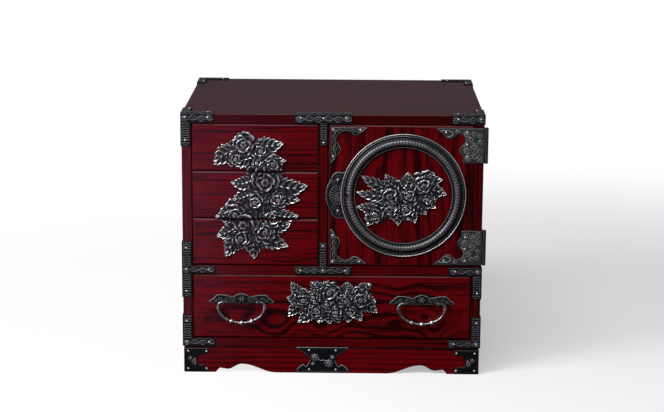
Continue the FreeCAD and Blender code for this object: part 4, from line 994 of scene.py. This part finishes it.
class CHEST_OT_brackets(bpy.types.Operator):
    """Chase scrolls and crescents on the brackets: on the front, and where they wrap onto top, sides and
    back."""

    bl_idname = "chest.brackets"
    bl_label = "Brackets"

    def faces(self):
        """Each face: its plane, the axes on it, the axis it faces along and the level of nail tops there."""
        t = IRON_T
        return {
            "front": ((0, -t, 0), X, Z, 1, -NAIL_TOP),
            "top": ((0, 0, HEIGHT + t), X, Y, 2, HEIGHT + NAIL_TOP),
            "left": ((-HALF_W - t, 0, 0), -Y, Z, 0, -HALF_W - NAIL_TOP),
            "right": ((HALF_W + t, 0, 0), Y, Z, 0, HALF_W + NAIL_TOP),
            "back": ((0, DEPTH + t, 0), -X, Z, 1, DEPTH + NAIL_TOP),
        }

    def strips(self):
        """Each bracket's strips by face, as rectangles in the two coordinates of that face."""
        t, high, wide, deep = IRON_T, HEIGHT + IRON_T, HALF_W + IRON_T, DEPTH
        face, wrap, foot = HALF_W - ARM_FACE, HALF_W - WRAP, BASE_HIGH[2]
        shelf0, shelf1 = SHELF_LOW[2] + SHELF_MARGIN, SHELF_HIGH[2] - SHELF_MARGIN
        foot_arm = span("bottom_board")[1][2] - IRON_MARGIN
        foot_leg = span("bottom_left_bracket")[1][2]
        (_, _, leg_low), (arm, arm_y, _) = span("top_left_bracket")
        _, rear_y, rear_leg = span("rear_corner_brackets")[0]
        (tee0, _, stem0), (tee1, _, _) = span("top_centre_bracket")
        (low_tee0, _, _), (low_tee1, _, stem1) = span("centre_middle_bracket")
        left, right = DIVIDER_X - STEM, DIVIDER_X + STEM
        brackets = {
            "top_centre_bracket": {
                "front": [((tee0, HEIGHT - ARM_FACE), (tee1, high)), ((left, stem0), (right, HEIGHT))],
                "top": [((tee0, -t), (tee1, WRAP))],
            },
            "centre_middle_bracket": {
                "front": [((low_tee0, shelf0), (low_tee1, shelf1)), ((left, shelf0), (right, stem1))],
            },
        }
        for side, sign in (("left", -1), ("right", 1)):
            leg = leg_low if sign < 0 else HEIGHT - ARM_FACE
            (_, _, middle0), (_, _, middle1) = span(f"{side}_middle_bracket")

            def at(x0, z0, x1, z1):
                a, b = sorted((sign * x0, sign * x1))
                return ((a, z0), (b, z1))

            brackets[f"top_{side}_bracket"] = {
                "front": [at(-arm, HEIGHT - ARM_FACE, wide, high), at(face, leg, wide, high)],
                "top": [at(-arm, -t, wide, WRAP), at(wrap, -t, wide, arm_y)],
                side: [((-t, leg), (WRAP, high)), ((-t, HEIGHT - WRAP), (arm_y, high))],
            }
            brackets[f"rear_{side}"] = {
                "top": [at(-arm, deep - WRAP, wide, deep + t), at(wrap, rear_y, wide, deep + t)],
                "back": [at(-arm, HEIGHT - WRAP, wide, high), at(wrap, rear_leg, wide, high)],
                side: [
                    ((deep - WRAP, rear_leg), (deep + t, high)), ((rear_y, HEIGHT - WRAP), (deep + t, high)),
                ],
            }
            brackets[f"{side}_middle_bracket"] = {
                "front": [at(-arm, shelf0, wide, shelf1), at(face, middle0, wide, middle1)],
                side: [((-t, middle0), (WRAP, middle1))],
            }
            brackets[f"bottom_{side}_bracket"] = {
                "front": [at(-arm, foot, wide, foot_arm), at(face, foot, wide, foot_leg)],
                side: [((-t, foot), (WRAP, foot_leg)), ((-t, foot), (arm_y, foot + WRAP))],
            }
        return brackets

    def execute(self, context):
        step = sizes().cell * MM
        faces = self.faces()
        for name, sides in self.strips().items():
            parts = []
            for face, strips in sides.items():
                plane, u_axis, v_axis, axis, level = faces[face]
                sign = u_axis.sum()
                boxes = []
                for a, b in strips:
                    u0, u1 = sorted((sign * a[0], sign * b[0]))
                    boxes.append(((u0, a[1]), (u1, b[1])))
                u, v = grid(np.min([low for low, _ in boxes], 0), np.max([high for _, high in boxes], 0), step)
                gap = np.maximum.reduce([box_gap(u, v, box) for box in boxes]) - STRIP_EDGE
                pattern = np.zeros_like(u)
                for box in boxes:
                    (u0, v0), (u1, v1) = box
                    if u1 - u0 > v1 - v0:
                        drawn = vine(u - u0, v - (v0 + v1) / 2, u1 - u0, v1 - v0)
                    else:
                        drawn = crescents(v - v0, u - (u0 + u1) / 2, u1 - u0)
                    pattern = np.where((box_gap(u, v, box) > 0.6) & (pattern == 0), drawn, pattern)
                pattern = pattern * clear_of(sign * u, v, nail_tops("frame_nails", axis, level))
                height = plate_height(gap, pattern, BRACKET_LOOK)
                parts.append(chased(u, v, gap, height, plane, u_axis, v_axis, step))
            iron_piece(f"{name}.chasing", parts, "cabinet", "bracket")
        return {"FINISHED"}


class CHEST_OT_door_irons(bpy.types.Operator):
    """Chase the lock plate, the corner plates and the hinge plates of the door."""

    bl_idname = "chest.door_irons"
    bl_label = "Door irons"

    def execute(self, context):
        step = sizes().cell * MM * FINE
        tops = nail_tops("door_nails", 1, DOOR_FRONT - NAIL_TOP)
        self.lock(step, tops)
        self.corners(step, tops)
        self.hinges(step, tops)
        return {"FINISHED"}

    def lock(self, step, tops):
        """The scalloped plate beside the ring: two rims, a fan of rays with an arc at either end, a hatched
        leaf above its middle and a scroll on each lobe."""
        (x0, _, z0), (_, _, z1) = span("lock_plate")
        tall = (z1 - z0) / 2
        lobe = x0 + LOCK_NOTCH_IN
        notch = (lobe, LOCK_NOTCH_Z * tall)
        bulge = (lobe + LOCK_LOBE_W * LOCK_BULGE[0], LOCK_BULGE[1] * tall)
        upper = arc(notch, bulge, (lobe + LOCK_LOBE_W, tall), 24)
        bow = arc((notch[0], -notch[1]), (x0, 0.0), notch, 48)
        lower = (upper * (1, -1))[::-1]
        outline = np.concatenate([bow[:-1], upper, [(RING_X, tall), (RING_X, -tall)], lower[:-1]]) + (0, RING_Z)
        u, v = grid((x0, RING_Z - tall), (x0 + 40, RING_Z + tall), step)
        rim_gap = outline_gap(u, v, outline)
        gap = np.minimum(rim_gap, np.hypot(u - RING_X, v - RING_Z) - RING_R)
        x, z = u - (x0 + 23.0), v - RING_Z
        reach, angle = np.hypot(x, z), np.arctan2(z, -x)
        rays = line_height(np.abs(np.sin(angle * 11)) * reach * 0.11, 0.45) * ((reach > 5.5) & (reach < 15.5))
        arcs = line_height(reach - 16.6, 0.5) + line_height(reach - 4.6, 0.5)
        lx, lz = u - (x0 + 19.5), v - RING_Z - 7.5
        leafy = np.abs(lz) < 3.6 * (1 - (lx / 2.6) ** 2)
        hatch = line_height(((lx + lz) * 1.1) % 1.5 - 0.75, 0.35)
        scrolls = scroll_field(u, v, [(x0 + x, RING_Z + z, *coil) for x, z, *coil in LOCK_SCROLLS])
        pattern = np.maximum(np.where(leafy, hatch, np.maximum(rays, arcs) * (np.abs(z) < 15)), scrolls)
        height = plate_height(rim_gap, pattern * clear_of(u, v, tops), LOCK_LOOK)
        plate = chased(u, v, gap, height, (0, DOOR_FRONT, 0), X, Z, step)
        iron_piece("lock_plate.chased", [plate], "door", "bracket", ("lock_plate",))

    def corners(self, step, tops):
        """The scalloped corner plates, each with a vine along both arms."""
        size = (DOOR_HIGH[2] - DOOR_LOW[2]) * DOOR_CORNER_SHARE
        x0 = DOOR_LOW[0] + PLATE_IN
        plates = []
        for up, z0 in ((1, DOOR_HIGH[2] - PLATE_IN), (-1, DOOR_LOW[2] + PLATE_IN)):

            def vines(u, v):
                a, b = u - x0, up * (z0 - v)
                return np.where(a > b, vine(a, b - 5.6, size, 9.5), vine(b, a - 5.6, size, 9.5))

            outline = softened([(x0 + size * a, z0 - up * size * b) for a, b in DOOR_CORNER], 1.4)
            plates.append(chased_plate(outline, 0.0, vines, tops, DOOR_CORNER_LOOK, DOOR_FRONT, step))
        iron_piece("door_corner_plates.chased", plates, "door", "deep", ("door_corner_plates",))

    def hinges(self, step, tops):
        """The chasing on the hinge plates: a rim, scrolls and a stalk over the block, and a loop on the
        tongue. Above a slanting line the block is chased more weakly."""
        low, high = span("door_hinge_leaves")
        long, tall = HINGE_PLATE
        x0 = low[0]
        plates = []
        for up, z0 in ((1, high[2]), (-1, low[2])):

            def scrolls(u, v):
                a, b = u - x0, up * (z0 - v)
                stalk = 0.8 * line_height((a - 0.62 * b - 38.0 - 3.0 * np.sin(b * 0.32)) * 0.8, 0.6) * (b > 6)
                tongue = line_height(((a - 14.0) / 11.0) ** 2 + ((b - 8.5) / 5.0) ** 2 - 1.0, 0.16)
                plain = np.clip((b - 0.25 * (a - 40.0) + 1.0) / 2.0, 0.35, 1) * (a > 38) + (a <= 38)
                return np.maximum(np.maximum(scroll_field(a, b, HINGE_SCROLLS), stalk) * plain, tongue)

            outline = softened([(x0 + long * a, z0 - up * tall * (1 - b)) for a, b in TONGUE], 1.2)
            plates.append(chased_plate(outline, 0.3, scrolls, tops, HINGE_LOOK, DOOR_FRONT - IRON_T, step))
        iron_piece("door_hinge_leaves.chasing", plates, "door", "iron")


class CHEST_OT_base_irons(bpy.types.Operator):
    """Chase the waisted plate under the divider and the corner plates of the base."""

    bl_idname = "chest.base_irons"
    bl_label = "Base irons"

    def execute(self, context):
        step = sizes().cell * MM
        tops = nail_tops("frame_nails", 1, BASE_LOW[1] - NAIL_TOP)
        self.centre(step, tops)
        self.corners(step, tops)
        return {"FINISHED"}

    def centre(self, step, tops):
        """The waisted plate with two blossoms on each side of its middle and a stem between them."""
        (x0, _, z0), (x1, _, z1) = span("base_centre_plate")
        half, tall = (x1 - x0) / 2, z1 - z0
        waist = z0 + tall * 0.5

        def blossoms(u, v):
            a, b = u - DIVIDER_X, v - waist
            bend = b + 1.0 + 0.34 * a - 1.2 * np.sin(a * 0.45)
            stem = 0.8 * line_height(bend, 0.6) * (np.abs(a + 1.0) < 8.0)
            return np.maximum(scroll_field(a, b, BASE_CENTRE_SCROLLS), stem)

        right = [(DIVIDER_X + half / 0.98 * a, z0 + tall / 0.97 * (b - 0.03)) for a, b in BASE_CENTRE]
        outline = softened(mirrored(right, DIVIDER_X), 1.5)
        plate = chased_plate(outline, 0.0, blossoms, tops, BASE_CENTRE_LOOK, BASE_LOW[1], step)
        iron_piece("base_centre_plate.chased", [plate], "cabinet", "deep", ("base_centre_plate",))

    def corners(self, step, tops):
        """The chasing on the front of the corner plates, two blossoms each; it runs 0.9 mm round the
        corner."""
        (x0, _, z0), (x1, _, z1) = span("base_corner_plates")
        tall = z1 - z0
        plates = []
        for side, edge in ((-1, x0 + IRON_T), (1, x1 - IRON_T)):

            def blossoms(u, v):
                return scroll_field(side * (edge - u), v - z0, BASE_CORNER_SCROLLS)

            outline = [(edge - side * BASE_CORNER_W * a, z0 + tall * b) for a, b in BASE_CORNER]
            outline = softened([(x if abs(x - edge) > 0.1 else x + side * 0.9, z) for x, z in outline], 1.2)
            at_y = BASE_LOW[1] - IRON_T
            plates.append(chased_plate(outline, 0.2, blossoms, tops, BASE_CORNER_LOOK, at_y, step))
        iron_piece("base_corner_plates.chasing", plates, "cabinet", "deep")


class CHEST_OT_bails(bpy.types.Operator):
    """Forge the bail handles with their knots, and chase the plates behind them."""

    bl_idname = "chest.bails"
    bl_label = "Bails"

    def path(self):
        """Half a bail's line from the middle of the low arc to the pin end, from the pivot: a low arc, a side
        arc, a tight corner and the straight pin."""
        a = BAIL_W / 2 - BAIL_WIRE_R
        drop = BAIL_DROP - BAIL_KNOB_R - BAIL_CORNER_R
        k = a - BAIL_SIDE_R
        low_r = (k * k + drop * drop - BAIL_SIDE_R ** 2) / (2 * (drop - BAIL_SIDE_R))
        turn = math.atan2(k, low_r - drop)
        arcs = [
            (0, low_r - drop - BAIL_CORNER_R, low_r, 0, turn),
            (k, -BAIL_CORNER_R, BAIL_SIDE_R, turn, math.pi / 2),
            (a - BAIL_CORNER_R, -BAIL_CORNER_R, BAIL_CORNER_R, math.pi / 2, math.pi),
        ]
        lines = []
        for x, z, r, first, last in arcs:
            t = np.linspace(first, last, 120)[:-1]
            lines.append(np.stack([x + r * np.sin(t), z - r * np.cos(t)], -1))
        lines.append(np.array([(a - BAIL_CORNER_R, 0.0), (BAIL_PIN_X, 0.0)]))
        line = np.concatenate(lines)
        along = np.concatenate([[0], np.cumsum(np.hypot(*np.diff(line, axis=0).T))])
        even = np.arange(0, along[-1], BAIL_STEP)
        return np.stack([np.interp(even, along, line[:, n]) for n in (0, 1)], -1), even

    def bail(self, body, pivot):
        """A round bar along the path. Its radius swells into knots with three lobes each near the middle and into
        a collar above each side arc, and narrows at the pins' ends."""
        half, along = self.path()
        line = np.concatenate([half[:0:-1] * (-1, 1), half])
        place = np.concatenate([-along[:0:-1], along])
        heading = np.gradient(line, axis=0)
        heading /= np.hypot(*heading.T)[:, None]
        theta = np.linspace(0, 2 * np.pi, BAIL_SIDES, endpoint=False)
        s, turn = np.meshgrid(place, theta, indexing="ij")
        away = np.abs(s)
        knots = sum(size * line_height(away - middle, wide) for middle, size, wide in BAIL_KNOTS)
        creases = 0.3 * line_height(away % 5.3 - 2.8, 0.5) * (away < 20)
        radius = BAIL_R + knots * (1 + 0.30 * np.cos(3 * turn + s * 0.4)) - creases
        radius[[0, -1]] *= 0.8
        nx, nz = -heading[:, 1:2], heading[:, 0:1]
        x = line[:, 0:1] + radius * np.cos(turn) * nx
        z = line[:, 1:2] + radius * np.cos(turn) * nz
        points = np.stack([pivot[0] + x, pivot[1] + radius * np.sin(turn), pivot[2] + z], -1)
        # Painted shade: the bar is darker in the creases near the middle; it is brighter where it is thicker.
        chase = 0.52 + 0.5 * (radius - 2.3) - creases
        points, quads, chase = tube(points, chase)
        new_piece(f"{body}.forged", points, quads, body, "black_iron", finish("bail"), chase, 60, (body,))

    def execute(self, context):
        step = sizes().cell * MM * FINE
        low, high = span("bail_plates")
        z0 = low[2]
        plates = []
        for body, pivot in BAIL_PIVOTS.items():
            self.bail(body, pivot)
            middle = pivot[0]
            half = (high[0] - low[0]) / 2 - abs(middle)

            def blossom(u, v):
                x, z = u - middle, v - z0
                boss = np.hypot(x, (z - 8.2) * 1.05)
                angle = np.arctan2(z - 8.2, x)
                flower = np.clip(1 - boss / 6.6, 0, 1) ** 0.5 * (0.65 + 0.35 * np.cos(6 * angle)) * 2.2
                return np.maximum(flower, scroll_field(np.abs(x), z, BAIL_PLATE_SCROLLS))

            right = [(middle + half * a, z0 + BAIL_PLATE_H * b) for a, b in BAIL_PLATE]
            outline = softened(mirrored(right, middle), 1.4)
            plates.append(chased_plate(outline, 0.0, blossom, [], BAIL_PLATE_LOOK, 0, step))
        iron_piece("bail_plates.chased", plates, "large_drawer", "bracket", ("bail_plates",))
        return {"FINISHED"}


class CHEST_OT_reliefs(bpy.types.Operator):
    """Chase the peonies and leaves on the door and the drawers."""

    bl_idname = "chest.reliefs"
    bl_label = "Reliefs"

    def execute(self, context):
        relief_piece("door_relief", "door", DOOR_RELIEF, DOOR_FLOWERS, DOOR_LEAVES, 5, back=DOOR_FRONT)
        relief_piece("large_drawer_relief", "large_drawer", WIDE_RELIEF, WIDE_FLOWERS, WIDE_LEAVES, 7)
        for body in ("upper_drawer", "middle_drawer", "lower_drawer"):
            low, high = span(f"{body}_front")
            relief_piece(
                f"{body}_relief", body, STACK_RELIEF, STACK_FLOWERS, STACK_LEAVES, 11,
                low[2] + STACK_CUT[0], high[2] - STACK_CUT[1],
            )
        return {"FINISHED"}


class CHEST_OT_ring(bpy.types.Operator):
    """Turn the ring of the door: rim, flange, groove, ribbed bead and inner lip, with the keyhole."""

    bl_idname = "chest.ring"
    bl_label = "Ring"

    def execute(self, context):
        s = sizes()
        profile = np.array(RING_PROFILE)
        fine = np.linspace(0, len(profile) - 1, 2 * len(profile) - 1)
        inward, rise = [np.interp(fine, np.arange(len(profile)), values) for values in profile.T]
        angles = np.linspace(0, 2 * np.pi, s.ribs * POINTS_PER_RIB, endpoint=False)
        turn, across = np.meshgrid(angles, inward, indexing="ij")
        height = np.broadcast_to(rise, turn.shape).copy()
        from_left = np.abs(turn - np.pi) * RING_R
        bead = np.clip(1 - ((across - BEAD_IN) / BEAD_HALF) ** 2, 0, 1) ** 0.5
        ribbed = np.clip((from_left - 4.5) / 2.0, 0, 1)
        wave = np.cos(turn * s.ribs)
        height -= s.rib_depth * MM * bead * ribbed * (0.5 - 0.5 * wave) ** 1.6
        hole = np.hypot(from_left * 0.8, across - KEYHOLE_IN)
        height = np.where(hole < KEYHOLE_RIM_R, height + 0.5 * line_height(hole - 3.8, 0.5), height)
        height = np.where(hole < KEYHOLE_R, np.minimum(height, 0.15), height)
        radius = RING_R - across
        points = np.stack([
            RING_X + radius * np.cos(turn), DOOR_FRONT - height, RING_Z + radius * np.sin(turn)
        ], -1)
        chase = np.where(bead > 0.2, bead * (wave * 0.15 * ribbed + 0.46), 0.0)
        # Painted highlight and shade: bright lines on the outer rim, the ridge at 4.3 mm and the inner lip, and a
        # dark band of painted shade in the flange at 6.6 mm.
        chase += 1.1 * line_height(across - 1.1, 0.7) + 0.7 * line_height(across - 21.0, 0.6)
        chase += 0.55 * line_height(across - 4.3, 0.5) - 0.6 * line_height(across - 6.6, 1.1)
        # Painted shadow: the keyhole, where the mesh only dips, is painted black as if it were open.
        chase = np.where(hole < KEYHOLE_R, -1.0, chase)
        index = np.arange(turn.size).reshape(turn.shape)
        ahead = np.roll(index, -1, 0)
        quads = np.stack([index[:, :-1], index[:, 1:], ahead[:, 1:], ahead[:, :-1]], -1).reshape(-1, 4)
        back = np.stack([index[:, -1], index[:, 0], ahead[:, 0], ahead[:, -1]], -1)
        part = (points.reshape(-1, 3), np.concatenate([quads, back]), chase.ravel())
        iron_piece("door_ring.ribbed", [part], "door", "ring", ("door_ring",))
        return {"FINISHED"}


class CHEST_OT_stage(bpy.types.Operator):
    """Set the pale floor, the soft lamps and the camera."""

    bl_idname = "chest.stage"
    bl_label = "Stage"

    def execute(self, context):
        self.floor(context)
        self.studio(context)
        for name, place, size, power in LAMPS:
            self.lamp(context, name, place, size, power)
        self.camera(context)
        context.scene.view_settings.view_transform = "Standard"
        return {"FINISHED"}

    def floor(self, context):
        """The floor is pale to the camera and fades to white away from the chest; mirrored in lacquer and
        iron it is dark, but for a rose card in front on the left."""
        mesh = bpy.data.meshes.new("floor")
        reach = FLOOR_REACH
        corners = [(-reach, -reach, 0), (reach, -reach, 0), (reach, reach, 0), (-reach, reach, 0)]
        mesh.from_pydata(corners, [], [(0, 1, 2, 3)])
        floor = bpy.data.objects.new("floor", mesh)
        context.scene.collection.objects.link(floor)
        made, paint = material("pale_floor")
        mesh.materials.append(made)
        seen = paint.node("ShaderNodeLightPath", output="Is Camera Ray")
        mirrored_ray = paint.node("ShaderNodeLightPath", output="Is Glossy Ray")
        x, y, _ = paint.split(paint.place())
        card = (x * -1.0).between(0.06, 0.45) * (y * -1.0).between(0.1, 0.35)
        reflected = paint.mix(card, (0.01, 0.009, 0.01), (0.78, 0.42, 0.68))
        around = paint.mix(mirrored_ray, (0.12, 0.12, 0.125), reflected)
        ground = paint.node("ShaderNodeBsdfDiffuse", None, [paint.mix(seen, around, shade(colours().floor))])
        glow = paint.node("ShaderNodeEmission", None, {"Color": (1.0, 1.0, 1.0, 1.0), "Strength": 1.0})
        far = (x * x + y * y) ** 0.5 - 0.12 * x.between(0.2, 0.8)
        # Painted light: the floor glows whiter to the camera on the left of the chest, where the lamps stand, than
        # on its right.
        lit = 0.44 + 0.36 * (x * -1.0).between(-0.2, 0.3)
        behind = (lit + far.between(0.6, 2.4)).between(0.0, 1.0) * seen
        paint.surface(paint.node("ShaderNodeMixShader", None, [behind, ground, glow]))

    def studio(self, context):
        """The room is white to the camera, and dim in reflections, more so from in front."""
        world = bpy.data.worlds.new("studio")
        context.scene.world = world
        world.use_nodes = True
        sky = Paint(world.node_tree)
        seen = sky.node("ShaderNodeLightPath", output="Is Camera Ray")
        mirrored_ray = sky.node("ShaderNodeLightPath", output="Is Glossy Ray")
        _, back, _ = sky.split(sky.node("ShaderNodeTexCoord", output="Generated"))
        reflected = sky.mix(back.between(-0.3, 0.3), (0.02, 0.02, 0.022), (0.105, 0.102, 0.116))
        room = sky.mix(mirrored_ray, (0.20, 0.20, 0.21), reflected)
        tone = sky.mix(seen, room, (1.0, 1.0, 1.0))
        light = sky.node("ShaderNodeBackground", None, {"Color": tone, "Strength": 1.0})
        sky.surface(light, "ShaderNodeOutputWorld")

    def lamp(self, context, name, place, size, power):
        light = bpy.data.lights.new(name, "AREA")
        light.shape = "RECTANGLE"
        light.size, light.size_y = size
        light.energy = power
        holder = bpy.data.objects.new(name, light)
        context.scene.collection.objects.link(holder)
        holder.location = place
        holder.rotation_euler = (Vector(LAMP_AIM) - Vector(place)).to_track_quat("-Z", "Y").to_euler()

    def camera(self, context):
        """The photo's view, found from the chest's edges in it."""
        camera = bpy.data.cameras.new("camera")
        camera.lens = SENSOR_MM * CAMERA_FOCUS_PX / PICTURE_PX
        camera.clip_end = 50.0
        seat = bpy.data.objects.new("camera", camera)
        context.scene.collection.objects.link(seat)
        yaw, pitch, roll = [math.radians(a) for a in CAMERA_TURN]
        ahead = Vector((math.sin(yaw) * math.cos(pitch), math.cos(yaw) * math.cos(pitch), -math.sin(pitch)))
        right = Vector((math.cos(yaw), -math.sin(yaw), 0.0))
        up = right.cross(ahead)
        level_right = right * math.cos(roll) + up * math.sin(roll)
        level_up = up * math.cos(roll) - right * math.sin(roll)
        turn = Matrix((level_right, level_up, -ahead)).transposed().to_4x4()
        seat.matrix_world = Matrix.Translation(Vector(CORNER) + Vector(CAMERA_PLACE)) @ turn
        context.scene.camera = seat


STEPS = [
    CHEST_OT_wood, CHEST_OT_iron, CHEST_OT_brackets, CHEST_OT_door_irons, CHEST_OT_base_irons, CHEST_OT_bails,
    CHEST_OT_reliefs, CHEST_OT_ring, CHEST_OT_stage,
]


class CHEST_PT_panel(bpy.types.Panel):
    """Sizes, colours and steps of the chest."""

    bl_label = "Chest"
    bl_idname = "CHEST_PT_panel"
    bl_space_type = "VIEW_3D"
    bl_region_type = "UI"
    bl_category = "Chest"

    def draw(self, context):
        for group in (context.scene.chest_sizes, context.scene.chest_colours):
            box = self.layout.box()
            for name in group.__annotations__:
                box.prop(group, name)
        for step in STEPS:
            self.layout.operator(step.bl_idname)


CLASSES = [ChestSizes, ChestColours, *STEPS, CHEST_PT_panel]


def register():
    for cls in CLASSES:
        bpy.utils.register_class(cls)
    bpy.types.Scene.chest_sizes = bpy.props.PointerProperty(type=ChestSizes)
    bpy.types.Scene.chest_colours = bpy.props.PointerProperty(type=ChestColours)


def unregister():
    del bpy.types.Scene.chest_colours
    del bpy.types.Scene.chest_sizes
    for cls in reversed(CLASSES):
        bpy.utils.unregister_class(cls)


def main():
    """Registers the classes and makes each piece in order."""
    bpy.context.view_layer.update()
    register()
    for step in STEPS:
        group, name = step.bl_idname.split(".")
        getattr(getattr(bpy.ops, group), name)()


if __name__ == "__main__":
    main()
